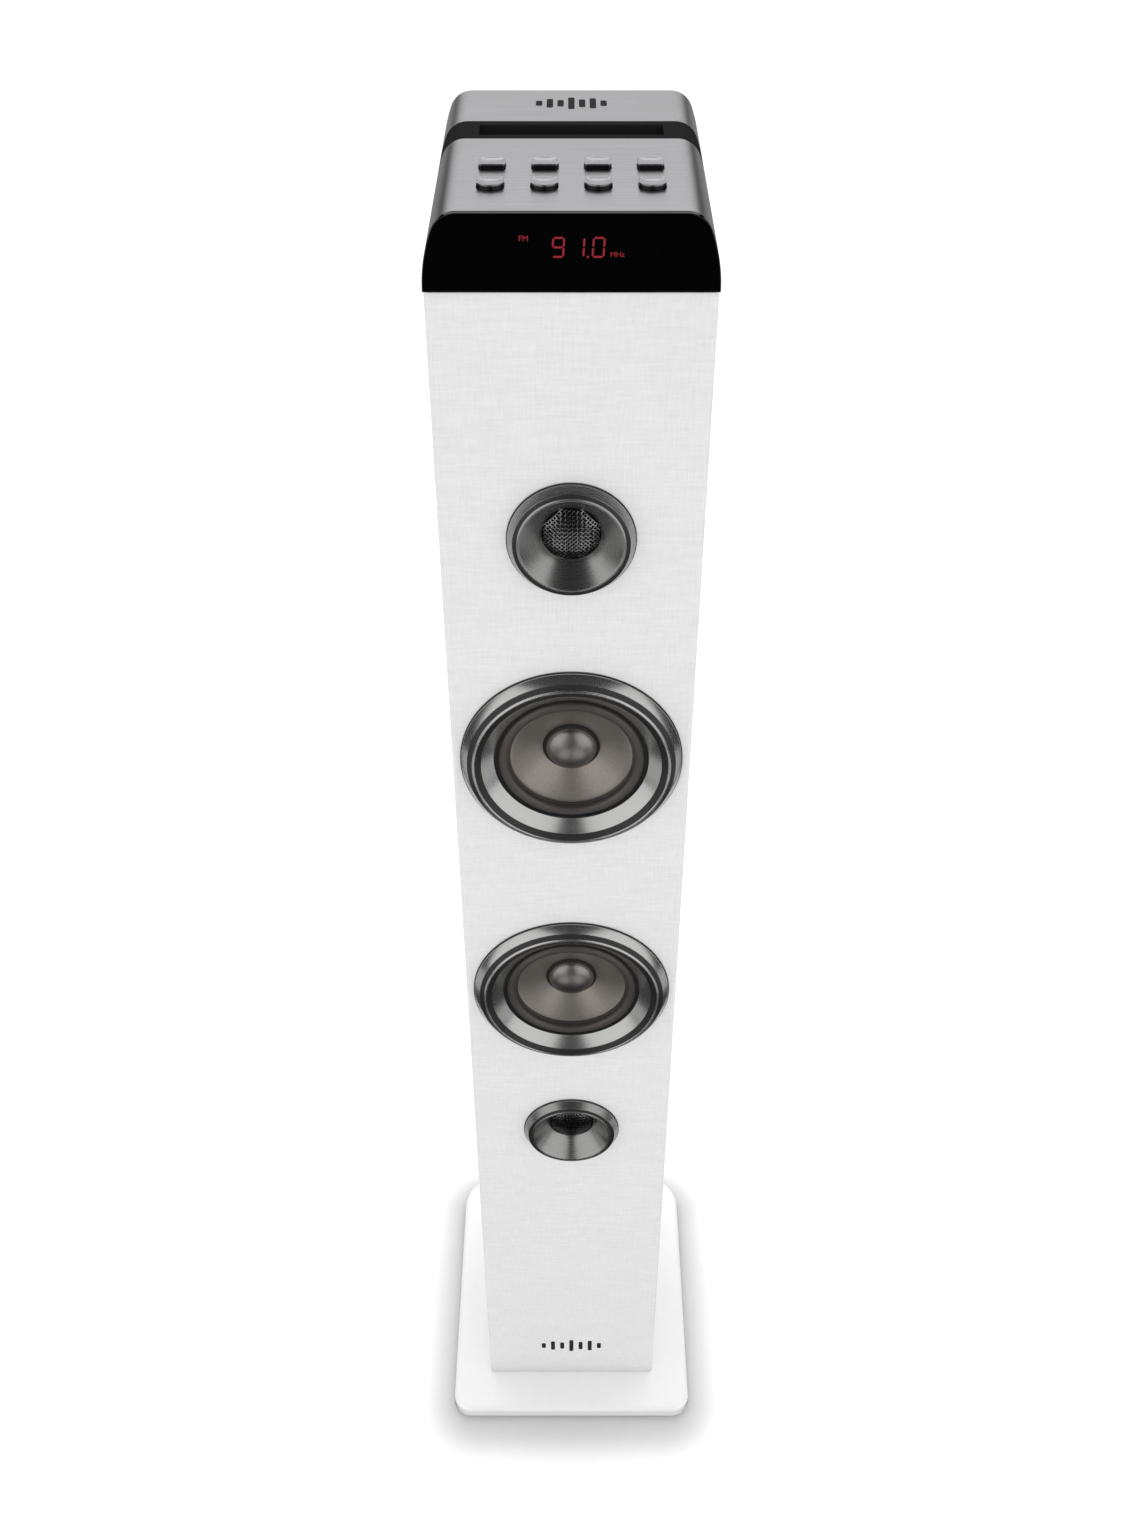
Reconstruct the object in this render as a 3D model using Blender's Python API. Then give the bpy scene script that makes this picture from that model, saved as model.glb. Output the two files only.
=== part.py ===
"""Column PA system: a slim floor-standing loudspeaker on a base plate.

Every sub-part is one named object. Lengths in this script are millimetres, and the helpers turn
them into Blender's metres. The origin is on the floor under the middle of the base plate, +Z is up
and the front of the column faces -Y.
"""

import math

import bmesh
import bpy
from mathutils import Vector

MM = 0.001
GAP = 0.3  # clearance between neighbouring pieces
OVERSHOOT = 5.0  # how far a cutting tool runs past the faces it cuts
WOOFER_STEPS = 32  # sides of the turned pieces
TWEETER_STEPS = 24
INNER_STEPS = 20
SMALL_STEPS = 12

# Base and cabinet
FOOT_RADIUS = 11.0
FOOT_HEIGHT = 4.0
FOOT_RECESS = 1.3
FOOT_CHAMFER = 0.8
FOOT_PLACES = ((-86.0, -106.0), (86.0, -106.0), (-82.0, 98.0), (82.0, 98.0))
BASE_WIDTH = 216.0
BASE_DEPTH = 256.0
BASE_BOTTOM = 3.0
BASE_TOP = 15.0
BASE_FRONT_RADIUS = 16.0
BASE_REAR_RADIUS = 36.0
BASE_EDGE_ROUNDING = 4.0
SCREW_PLACES = ((-45.0, -60.0), (45.0, -60.0), (-45.0, 60.0), (45.0, 60.0))
SCREW_RADIUS = 3.0
SCREW_BORE_RADIUS = 3.4
SCREW_SOCKET = (2.6, 2.6)  # radius and depth of the driving recess
SCREW_HEAD_RADIUS = 5.5
SCREW_HEAD_HEIGHT = 5.2
SCREW_TOP = 28.0
COUNTERBORE_DEPTH = 7.0
COUNTERBORE_RADIUS = 6.0

COLUMN_WIDTH = 150.0
COLUMN_DEPTH = 182.0
COLUMN_TOP = 1074.4
PANEL = 12.0
BOARD = 15.0
COLUMN_EDGE_RADIUS = 2.5
BRACE_HEIGHT = 652.0
BRACE_WINDOW = (60.0, 90.0)
CABLE_WAY = (12.0, 40.0)  # radius of the hole in the top board, and its place behind the middle

FRONT = -COLUMN_DEPTH / 2
BACK = COLUMN_DEPTH / 2
CABINET_BOTTOM = BASE_TOP + GAP

# Drivers: heights of their centres, and the width of their trim rings
TWEETER_HEIGHTS = {"upper": 927.4, "lower": 385.3}
WOOFER_HEIGHTS = {"upper": 764.3, "lower": 547.6}
WOOFER_RADIUS = 70.0
WOOFER_REBATE = (58.4, 5.0)  # radius and depth of the step that holds the basket's rim
WOOFER_HOLE_RADIUS = 50.8
WOOFER_COIL = (11.9, 12.7)  # inner and outer radius
WOOFER_CONE_EDGE = (40.3, 3.7)  # radius, and depth behind the baffle's face
WOOFER_LIP_RADIUS = 48.7
WOOFER_ROLL = (43.0, 1.2, 3.4, 0.9)  # centre radius, depth, roll radius and rubber thickness
WOOFER_CAP = (17.0, 13.6, 6.0, 0.8)  # radius, rim depth, rise and thickness of the dust cap
BASKET_WINDOW = (24.0, 15.0, 34.0)  # width, and depths where it starts and ends
TWEETER_RADIUS = 37.0
TWEETER_REBATE = (31.4, 3.0)
TWEETER_HOLE_RADIUS = 26.5
TWEETER_MESH = (16.3, 8.9, 4.4, 0.6)  # radius, rim depth, rise and thickness
TWEETER_DOME = (12.5, 12.5, 5.0, 0.7)
TWEETER_FORMER_DEPTH = 18.0

# Head cap: its outline is a side arc, a corner arc and a flat top
CAP_HALF_WIDTH = 75.4
CAP_HEIGHT = 40.6
CAP_SIDE_RADIUS = 90.0
CAP_CORNER_RADIUS = 13.4
CAP_WALL = 2.4
CAP_BOTTOM = COLUMN_TOP + GAP
WINDOW_FRONT = FRONT - 1.5
WINDOW_BACK = FRONT + 1.5
FRONT_SHELL_BACK = FRONT + 103.0
CRADLE_BACK = FRONT + 130.0

SLOT_LENGTH = 100.0
SLOT_WIDTH = 13.0
SLOT_DEPTH = 9.0
SLOT_LEAN = math.radians(15)
SLOT_FORWARD = 1.0  # the slot sits this far in front of the cradle's middle
CRADLE_HOLLOW_HALF_WIDTH = 62.0

DISPLAY_MODULE = (64.0, 8.7, 21.0)  # width, depth and height
DISPLAY_MODULE_BOTTOM = 1086.0

# Buttons: two rows of four on the front shell
BUTTON_X = (-41.0, -13.65, 13.65, 41.0)
BUTTON_ROWS = {"front": FRONT + 34.0, "rear": FRONT + 63.0}
BUTTON_WIDTH = 13.6
BUTTON_DEPTH = 11.6
BUTTON_ARC_RADIUS = 8.4
BUTTON_CORNER_RADIUS = 1.2
BUTTON_PROUD = 2.8
BUTTON_FLANGE = 1.0
BUTTON_FLANGE_THICKNESS = 1.7
BUTTON_STEM_SCALE = 0.3
BUTTON_TRAVEL = 0.8
BUTTON_HOLE_CLEARANCE = 0.35
BUTTON_DISH = (1.2, 0.3)  # how far in and how deep the top is dished
CONTROL_BOARD_TOP = 1101.6
CONTROL_BOARD_THICKNESS = 1.6
CONTROL_BOARD_PLAN = ((-58.0, FRONT + 22.0), (58.0, FRONT + 76.0))
SWITCH_SIZE = (6.0, 2.4)  # width, and height above the board

# Rear panel and what it carries
PANEL_CENTRE_Z = 170.0
PANEL_SIZE = (104.0, 128.0)
PANEL_THICKNESS = 2.4
PANEL_REBATE = 2.7
PANEL_LEDGE = 9.0
INLET_CENTRE = (-24.0, 132.0)
INLET_BODY = (27.0, 20.0)
INLET_CAVITY = (22.6, 16.0)
INLET_DEPTH = 17.0
INLET_WALL = 3.0
INLET_PINS = ((-7.0, 1.6), (7.0, 1.6), (0.0, -2.6))
INLET_PIN_HALF_SIZE = (1.0, 2.0)
INLET_PIN_SET_BACK = 5.0
ROCKER_CENTRE = (24.0, 132.0)
ROCKER_SIZE = (13.0, 19.0)
ROCKER_TIP = math.radians(7)
ROCKER_DEPTH = 8.0
ROCKER_PROUD = 2.2
SOCKET_X = (-14.0, 14.0)
SOCKET_Z = 208.0
SOCKET_PLATE = (52.0, 1.2, 24.0)
SOCKET_BARREL = (4.15, 9.5)  # radius and length
SOCKET_BORE = (1.6, 3.0)  # radius, and how far from the plate it starts

# Electronics inside
AMPLIFIER_BOARD = ((-46.0, 160.0), (46.0, 262.0))
AMPLIFIER_BEHIND = 26.0  # clear depth between the board and the rear panel
BOARD_THICKNESS = 1.6
HEATSINK = ((-40.0, 236.0), (40.0, 256.0), 22.0)
CAPACITORS = ((-26.0, 190.0), (26.0, 190.0))
CAPACITOR = (9.0, 28.0)
TRANSFORMER_CORE = ((-33.0, -20.0), (33.0, 36.0), 55.0)
TRANSFORMER_WINDING = ((-22.0, -32.0), (22.0, 48.0), (12.0, 43.0))


def material(name, colour, roughness, metallic=0.0):
    """A plain Principled material in the sub-part's own colour."""
    finish = bpy.data.materials.new(name)
    finish.use_nodes = True
    shader = finish.node_tree.nodes["Principled BSDF"]
    shader.inputs["Base Color"].default_value = (*colour, 1.0)
    shader.inputs["Roughness"].default_value = roughness
    shader.inputs["Metallic"].default_value = metallic
    finish.diffuse_color = (*colour, 1.0)
    return finish


def make_materials():
    """The finishes that the sub-parts are made of."""
    return {
        "white_vinyl": material("white_vinyl", (0.82, 0.82, 0.81), 0.55),
        "white_gloss": material("white_gloss", (0.86, 0.86, 0.86), 0.12),
        "fibreboard": material("fibreboard", (0.42, 0.30, 0.19), 0.8),
        "satin_metal": material("satin_metal", (0.42, 0.42, 0.43), 0.32, 1.0),
        "dark_metal": material("dark_metal", (0.12, 0.12, 0.12), 0.35, 1.0),
        "pressed_steel": material("pressed_steel", (0.05, 0.05, 0.05), 0.5, 0.6),
        "ferrite": material("ferrite", (0.06, 0.06, 0.065), 0.7),
        "paper_cone": material("paper_cone", (0.26, 0.25, 0.23), 0.6),
        "gloss_cap": material("gloss_cap", (0.03, 0.03, 0.03), 0.15),
        "rubber": material("rubber", (0.02, 0.02, 0.02), 0.6),
        "copper_coil": material("copper_coil", (0.72, 0.35, 0.18), 0.35, 1.0),
        "spider_cloth": material("spider_cloth", (0.45, 0.33, 0.14), 0.9),
        "silk_dome": material("silk_dome", (0.04, 0.04, 0.045), 0.5),
        "silver_brushed": material("silver_brushed", (0.62, 0.62, 0.63), 0.3, 1.0),
        "gloss_black": material("gloss_black", (0.01, 0.01, 0.01), 0.05),
        "black_plastic": material("black_plastic", (0.03, 0.03, 0.03), 0.4),
        "display_red": material("display_red", (0.35, 0.01, 0.03), 0.3),
        "circuit_green": material("circuit_green", (0.03, 0.16, 0.07), 0.5),
        "zinc_screw": material("zinc_screw", (0.55, 0.55, 0.52), 0.3, 1.0),
    }


def finish_object(name, mesh, finish, location=(0.0, 0.0, 0.0), smooth=False):
    """Puts a mesh in the scene as a named object with its own material."""
    mesh.name = name
    mesh.materials.append(finish)
    if smooth:
        mesh.shade_smooth()
        mesh.set_sharp_from_angle(angle=math.radians(35))
    piece = bpy.data.objects.new(name, mesh)
    piece.location = Vector(location) * MM
    bpy.context.scene.collection.objects.link(piece)
    return piece


def mesh_from(bm):
    """Closes a bmesh off into a mesh in metres, faces outwards."""
    bmesh.ops.remove_doubles(bm, verts=bm.verts, dist=1e-3)
    bmesh.ops.recalc_face_normals(bm, faces=bm.faces)
    bmesh.ops.scale(bm, vec=(MM, MM, MM), verts=bm.verts)
    mesh = bpy.data.meshes.new("mesh")
    bm.to_mesh(mesh)
    bm.free()
    return mesh


def turned(profile, steps):
    """A solid of revolution about the Y axis. The profile is (radius, depth) points round its edge;
    one that starts and ends on the axis is left open there."""
    bm = bmesh.new()
    points = [bm.verts.new((radius, depth, 0.0)) for radius, depth in profile]
    edges = [bm.edges.new(pair) for pair in zip(points, points[1:])]
    if profile[0][0] > 0:
        edges.append(bm.edges.new((points[-1], points[0])))
    bmesh.ops.spin(
        bm, geom=points + edges, cent=(0, 0, 0), axis=(0, 1, 0), angle=math.tau, steps=steps
    )
    return mesh_from(bm)


def disc(radius, start, end):
    """Profile of a plain cylinder between two depths."""
    return [(0, start), (radius, start), (radius, end), (0, end)]


def arc(centre, radius, start, end, count):
    """Points on an arc, in a plane, with angles in degrees; both ends are included."""
    angles = [math.radians(start + (end - start) * i / count) for i in range(count + 1)]
    return [(centre[0] + radius * math.cos(a), centre[1] + radius * math.sin(a)) for a in angles]


def dome_shell(radius, rim_depth, rise, wall):
    """Profile of a thin dome that bulges to the front: outer skin from the axis to the rim, then the
    inner skin back to the axis."""
    outer = [
        (radius * math.sin(math.radians(a)), rim_depth - rise * math.cos(math.radians(a)))
        for a in (0, 30, 60, 90)
    ]
    inner = [(r * (1 - wall / radius), d + wall * (1 - 0.7 * r / radius)) for r, d in reversed(outer)]
    return outer + inner


def rounded_rectangle(width, depth, radii, count):
    """Outline with its own radius at each corner: front right, rear right, rear left, front left."""
    x, y = width / 2, depth / 2
    corners = ((x, -y, 270), (x, y, 0), (-x, y, 90), (-x, -y, 180))
    outline = []
    for (corner_x, corner_y, start), radius in zip(corners, radii):
        centre = (corner_x - math.copysign(radius, corner_x), corner_y - math.copysign(radius, corner_y))
        outline += arc(centre, radius, start, start + 90, count) if radius else [(corner_x, corner_y)]
    return outline


def stacked(sections):
    """A solid through outlines with the same number of points: each is a list of 3-D points."""
    bm = bmesh.new()
    loops = [[bm.verts.new(point) for point in section] for section in sections]
    for lower, upper in zip(loops, loops[1:]):
        for i in range(len(lower)):
            j = (i + 1) % len(lower)
            bm.faces.new((lower[i], lower[j], upper[j], upper[i]))
    bm.faces.new(list(reversed(loops[0])))
    bm.faces.new(loops[-1])
    return mesh_from(bm)


def upright(outline, low, high):
    """A prism with a plan outline, from one height to another."""
    return stacked([[(x, y, z) for x, y in outline] for z in (low, high)])


def lengthwise(outline, front, back):
    """A prism with an outline seen from the front (x, z), from one depth to another."""
    return stacked([[(x, y, z) for x, z in outline] for y in (front, back)])


def block(low, high):
    """A box between two corners."""
    return upright(
        [(low[0], low[1]), (high[0], low[1]), (high[0], high[1]), (low[0], high[1])], low[2], high[2]
    )


def boolean(piece, tool_mesh, operation="DIFFERENCE", location=(0.0, 0.0, 0.0)):
    """Cuts a piece with a hidden tool, or joins the tool to it."""
    tool = bpy.data.objects.new(f"{piece.name}_tool", tool_mesh)
    tool.location = Vector(location) * MM
    tool.hide_render = True
    tool.display_type = "WIRE"
    bpy.context.scene.collection.objects.link(tool)
    modifier = piece.modifiers.new(operation.lower(), "BOOLEAN")
    modifier.operation = operation
    modifier.solver = "EXACT"
    modifier.object = tool
    return tool


def carrier(name, location):
    """An empty on a moving piece's axis, which the piece is parented to."""
    empty = bpy.data.objects.new(name, None)
    empty.location = Vector(location) * MM
    empty.empty_display_size = 0.02
    bpy.context.scene.collection.objects.link(empty)
    return empty


def cap_outline(inset, count=5):
    """The head cap's outline above its bottom edge (x, z), from right to left, set in by a wall."""
    side = CAP_SIDE_RADIUS - inset
    corner = CAP_CORNER_RADIUS - inset
    side_centre_x = CAP_HALF_WIDTH - CAP_SIDE_RADIUS
    corner_z = CAP_HEIGHT - CAP_CORNER_RADIUS
    reach = CAP_SIDE_RADIUS - CAP_CORNER_RADIUS
    corner_x = side_centre_x + math.sqrt(reach**2 - corner_z**2)
    join = math.degrees(math.atan2(corner_z, corner_x - side_centre_x))
    right = arc((side_centre_x, 0), side, 0, join, count)[:-1] + arc(
        (corner_x, corner_z), corner, join, 90, count
    )
    left = [(-x, z) for x, z in reversed(right)]
    return [(x, z + CAP_BOTTOM) for x, z in right + left]


def base(finishes):
    """Base plate, its feet and the screws that hold the column on it."""
    radii = (BASE_FRONT_RADIUS, BASE_REAR_RADIUS, BASE_REAR_RADIUS, BASE_FRONT_RADIUS)
    sections = []
    for step in range(3):
        angle = math.radians(45 * step)
        inset = BASE_EDGE_ROUNDING * (1 - math.cos(angle))
        height = BASE_TOP - BASE_EDGE_ROUNDING * (1 - math.sin(angle))
        outline = rounded_rectangle(
            BASE_WIDTH - 2 * inset, BASE_DEPTH - 2 * inset, [r - inset for r in radii], 4
        )
        sections.append([(x, y, height) for x, y in outline])
    sections.insert(0, [(x, y, BASE_BOTTOM) for x, y, _ in sections[0]])
    plate = finish_object("base_plate", stacked(sections), finishes["white_gloss"], smooth=True)

    recess = turned(disc(FOOT_RADIUS + GAP, 0, OVERSHOOT), INNER_STEPS)
    for i, (x, y) in enumerate(FOOT_PLACES):
        tool = boolean(plate, recess.copy(), location=(x, y, BASE_BOTTOM + FOOT_RECESS))
        tool.rotation_euler.x = -math.pi / 2
        rim = FOOT_RADIUS - FOOT_CHAMFER
        foot_profile = [
            (0, 0),
            (rim, 0),
            (FOOT_RADIUS, FOOT_CHAMFER),
            (FOOT_RADIUS, FOOT_HEIGHT),
            (0, FOOT_HEIGHT),
        ]
        foot = turned(foot_profile, INNER_STEPS)
        piece = finish_object(f"foot_{i + 1}", foot, finishes["rubber"], (x, y, 0), smooth=True)
        piece.rotation_euler.x = math.pi / 2

    counterbore = BASE_BOTTOM + COUNTERBORE_DEPTH
    head_top = counterbore - GAP
    head_bottom = head_top - SCREW_HEAD_HEIGHT
    socket_radius, socket_depth = SCREW_SOCKET
    bore_profile = [
        (0, -OVERSHOOT),
        (COUNTERBORE_RADIUS, -OVERSHOOT),
        (COUNTERBORE_RADIUS, counterbore),
        (SCREW_BORE_RADIUS, counterbore),
        (SCREW_BORE_RADIUS, BASE_TOP + OVERSHOOT),
        (0, BASE_TOP + OVERSHOOT),
    ]
    screw_profile = [
        (0, head_bottom + socket_depth),
        (socket_radius, head_bottom + socket_depth),
        (socket_radius, head_bottom),
        (SCREW_HEAD_RADIUS, head_bottom),
        (SCREW_HEAD_RADIUS, head_top),
        (SCREW_RADIUS, head_top),
        (SCREW_RADIUS, SCREW_TOP),
        (0, SCREW_TOP),
    ]
    for i, (x, y) in enumerate(SCREW_PLACES):
        bore = turned(bore_profile, SMALL_STEPS)
        boolean(plate, bore, location=(x, y, 0)).rotation_euler.x = math.pi / 2
        screw = turned(screw_profile, SMALL_STEPS)
        piece = finish_object(f"base_screw_{i + 1}", screw, finishes["zinc_screw"], (x, y, 0), smooth=True)
        piece.rotation_euler.x = math.pi / 2


def cabinet(finishes):
    """Panels and boards of the column."""
    half = COLUMN_WIDTH / 2
    inner = half - PANEL
    top = COLUMN_TOP - GAP
    edge = COLUMN_EDGE_RADIUS

    baffle_outline = rounded_rectangle(COLUMN_WIDTH, PANEL, (edge, 0, 0, edge), 3)
    baffle_plan = [(x, y + FRONT + PANEL / 2) for x, y in baffle_outline]
    baffle = finish_object(
        "front_baffle", upright(baffle_plan, CABINET_BOTTOM, top), finishes["white_vinyl"]
    )
    openings = [(z, WOOFER_REBATE, WOOFER_HOLE_RADIUS, WOOFER_STEPS) for z in WOOFER_HEIGHTS.values()]
    openings += [(z, TWEETER_REBATE, TWEETER_HOLE_RADIUS, TWEETER_STEPS) for z in TWEETER_HEIGHTS.values()]
    for height, (rebate_radius, rebate_depth), hole_radius, steps in openings:
        stepped = [
            (0, -OVERSHOOT),
            (rebate_radius, -OVERSHOOT),
            (rebate_radius, rebate_depth),
            (hole_radius, rebate_depth),
            (hole_radius, PANEL + OVERSHOOT),
            (0, PANEL + OVERSHOOT),
        ]
        boolean(baffle, turned(stepped, steps), location=(0, FRONT, height))

    back_outline = rounded_rectangle(COLUMN_WIDTH, PANEL, (0, edge, edge, 0), 3)
    back_plan = [(x, y + BACK - PANEL / 2) for x, y in back_outline]
    back = finish_object("back_panel", upright(back_plan, CABINET_BOTTOM, top), finishes["white_vinyl"])
    width, height = PANEL_SIZE[0] / 2 + GAP, PANEL_SIZE[1] / 2 + GAP
    low, high = PANEL_CENTRE_Z - height, PANEL_CENTRE_Z + height
    boolean(back, block((-width, BACK - PANEL_REBATE, low), (width, BACK + OVERSHOOT, high)))
    width, low, high = width - PANEL_LEDGE, low + PANEL_LEDGE, high - PANEL_LEDGE
    boolean(back, block((-width, BACK - PANEL - OVERSHOOT, low), (width, BACK, high)))

    inside_front = FRONT + PANEL + GAP
    inside_back = BACK - PANEL - GAP
    for name, outer, inner_face in (("left_side_panel", -half, -inner), ("right_side_panel", inner, half)):
        side = block((outer, inside_front, CABINET_BOTTOM), (inner_face, inside_back, top))
        finish_object(name, side, finishes["white_vinyl"])

    reach = inner - GAP
    bottom = finish_object(
        "bottom_board",
        block((-reach, inside_front, CABINET_BOTTOM), (reach, inside_back, CABINET_BOTTOM + BOARD)),
        finishes["fibreboard"],
    )
    for x, y in SCREW_PLACES:
        pilot = disc(SCREW_RADIUS + GAP, BASE_BOTTOM, SCREW_TOP + 2 * OVERSHOOT)
        hole = turned(pilot, SMALL_STEPS)
        boolean(bottom, hole, location=(x, y, 0)).rotation_euler.x = math.pi / 2
    lid = finish_object(
        "top_board",
        block((-reach, inside_front, top - BOARD), (reach, inside_back, top)),
        finishes["fibreboard"],
    )
    way_radius, way_y = CABLE_WAY
    cable_way = turned(disc(way_radius, -2 * BOARD, 2 * BOARD), SMALL_STEPS)
    boolean(lid, cable_way, location=(0, way_y, top)).rotation_euler.x = math.pi / 2
    brace = finish_object(
        "shelf_brace",
        block((-reach, inside_front, BRACE_HEIGHT), (reach, inside_back, BRACE_HEIGHT + PANEL)),
        finishes["fibreboard"],
    )
    x, y = BRACE_WINDOW[0] / 2, BRACE_WINDOW[1] / 2
    boolean(brace, block((-x, -y, BRACE_HEIGHT - OVERSHOOT), (x, y, BRACE_HEIGHT + PANEL + OVERSHOOT)))


def woofer(side, height, finishes):
    """One woofer. Profiles are (radius, depth behind the baffle's face)."""
    place = (0, FRONT, height)

    def part(node, profile, steps, finish, parent=None):
        mesh = turned(profile, steps)
        name = f"woofer_{side}_{node}"
        piece = finish_object(name, mesh, finishes[finish], (0, 0, 0) if parent else place, smooth=True)
        piece.parent = parent
        return piece

    trim = [
        (WOOFER_RADIUS, -GAP),
        (WOOFER_RADIUS, -1.4),
        (65.6, -6.8),
        (62.3, -9.2),
        (61.4, -9.9),
        (60.6, -9.6),
        (56.5, -7.3),
        (WOOFER_LIP_RADIUS, -0.9),
        (WOOFER_LIP_RADIUS, 0.8),
        (57.0, 0.8),
        (57.0, -GAP),
    ]
    part("trim_ring", trim, WOOFER_STEPS, "satin_metal")

    radius, depth, roll, rubber = WOOFER_ROLL
    outer_roll = arc((radius, depth), roll, 0, -180, 4)
    inner_roll = arc((radius, depth), roll - rubber, -180, 0, 4)
    surround = [(50.0, depth)] + outer_roll + [(39.6, 2.5), (38.5, 2.5), (38.5, 3.4), (40.5, 3.4)]
    surround += inner_roll + [(45.5, 2.2), (50.0, 2.2)]
    part("surround", surround, TWEETER_STEPS, "rubber")

    basket = [
        (57.8, 2.5),
        (57.8, 4.7),
        (50.2, 4.7),
        (49.4, 12.0),
        (36.0, 38.0),
        (36.0, 41.0),
        (14.2, 41.0),
        (14.2, 38.5),
        (33.5, 38.5),
        (46.6, 12.5),
        (47.2, 5.0),
        (45.6, 2.5),
    ]
    frame = part("basket", basket, TWEETER_STEPS, "pressed_steel")
    width, start, end = BASKET_WINDOW
    for x, z in ((WOOFER_RADIUS, width / 2), (width / 2, WOOFER_RADIUS)):
        boolean(frame, block((-x, start, -z), (x, end, z)), location=place)

    magnet = [
        (0, 37.5),
        (11.3, 37.5),
        (11.3, 56.0),
        (13.5, 56.0),
        (13.5, 41.3),
        (34.0, 41.3),
        (34.0, 61.0),
        (0, 61.0),
    ]
    part("magnet", magnet, INNER_STEPS, "ferrite")
    spider = [(13.1, 23.6), (22.0, 22.4), (31.0, 24.8), (40.0, 23.6)]
    spider += [(radius, depth + 0.8) for radius, depth in reversed(spider)]
    part("spider", spider, INNER_STEPS, "spider_cloth")

    moving = carrier(f"woofer_{side}_axis", place)
    edge, depth = WOOFER_CONE_EDGE
    cone = [
        (edge, depth + 0.9),
        (edge - 2.4, depth + 0.9),
        (13.0, 17.4),
        (13.0, 16.5),
        (edge - 2.0, depth),
        (edge, depth),
    ]
    part("cone", cone, WOOFER_STEPS, "paper_cone", moving)
    part("dust_cap", dome_shell(*WOOFER_CAP), INNER_STEPS, "gloss_cap", moving)
    coil_inner, coil_outer = WOOFER_COIL
    coil = [(coil_inner, 16.8), (coil_inner, 52.0), (coil_outer, 52.0), (coil_outer, 16.8)]
    part("voice_coil", coil, INNER_STEPS, "copper_coil", moving)


def tweeter(side, height, finishes):
    """One horn-loaded tweeter. Profiles are (radius, depth behind the baffle's face)."""
    place = (0, FRONT, height)

    def part(node, profile, steps, finish, parent=None):
        mesh = turned(profile, steps)
        name = f"tweeter_{side}_{node}"
        piece = finish_object(name, mesh, finishes[finish], (0, 0, 0) if parent else place, smooth=True)
        piece.parent = parent
        return piece

    horn = [
        (TWEETER_RADIUS, -GAP),
        (TWEETER_RADIUS, -1.2),
        (33.4, -6.5),
        (31.0, -7.3),
        (29.6, -7.6),
        (28.7, -7.0),
        (23.0, -0.6),
        (17.4, 5.8),
        (16.8, 7.2),
        (16.8, 12.4),
        (24.0, 12.4),
        (24.0, 9.0),
        (25.6, 5.0),
        (25.6, 2.6),
        (31.0, 2.6),
        (31.0, -GAP),
    ]
    part("horn", horn, TWEETER_STEPS, "satin_metal")
    part("mesh_dome", dome_shell(*TWEETER_MESH), INNER_STEPS, "dark_metal")
    magnet = [
        (0, 14.5),
        (11.0, 14.5),
        (11.0, 21.0),
        (13.4, 21.0),
        (13.4, 12.7),
        (24.0, 12.7),
        (24.0, 32.0),
        (0, 32.0),
    ]
    part("magnet", magnet, INNER_STEPS, "ferrite")
    moving = carrier(f"tweeter_{side}_axis", place)
    shell = dome_shell(*TWEETER_DOME)
    rim = len(shell) // 2
    former = [(shell[rim - 1][0], TWEETER_FORMER_DEPTH), (shell[rim][0], TWEETER_FORMER_DEPTH)]
    part("dome", shell[:rim] + former + shell[rim:], INNER_STEPS, "silk_dome", moving)


def button_outline(row, grow=0.0, scale=1.0):
    """D-shaped plan about the button's centre: the front row's arc faces the front, the rear row's
    faces the back."""
    facing = -1 if row == "front" else 1
    half = BUTTON_WIDTH / 2
    corner = BUTTON_CORNER_RADIUS
    radius = BUTTON_ARC_RADIUS
    straight = -BUTTON_DEPTH / 2
    points = arc((-half + corner, straight + corner), corner, 180, 270, 2)
    points += arc((half - corner, straight + corner), corner, 270, 360, 2)
    span = math.degrees(math.asin(half / radius))
    points += arc((0, BUTTON_DEPTH / 2 - radius), radius, 90 - span, 90 + span, 5)
    plan = []
    for x, y in points:
        reach = math.hypot(x, y)
        stretch = scale * (reach + grow) / reach
        plan.append((x * stretch, y * stretch * facing))
    return plan if facing > 0 else list(reversed(plan))


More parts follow.
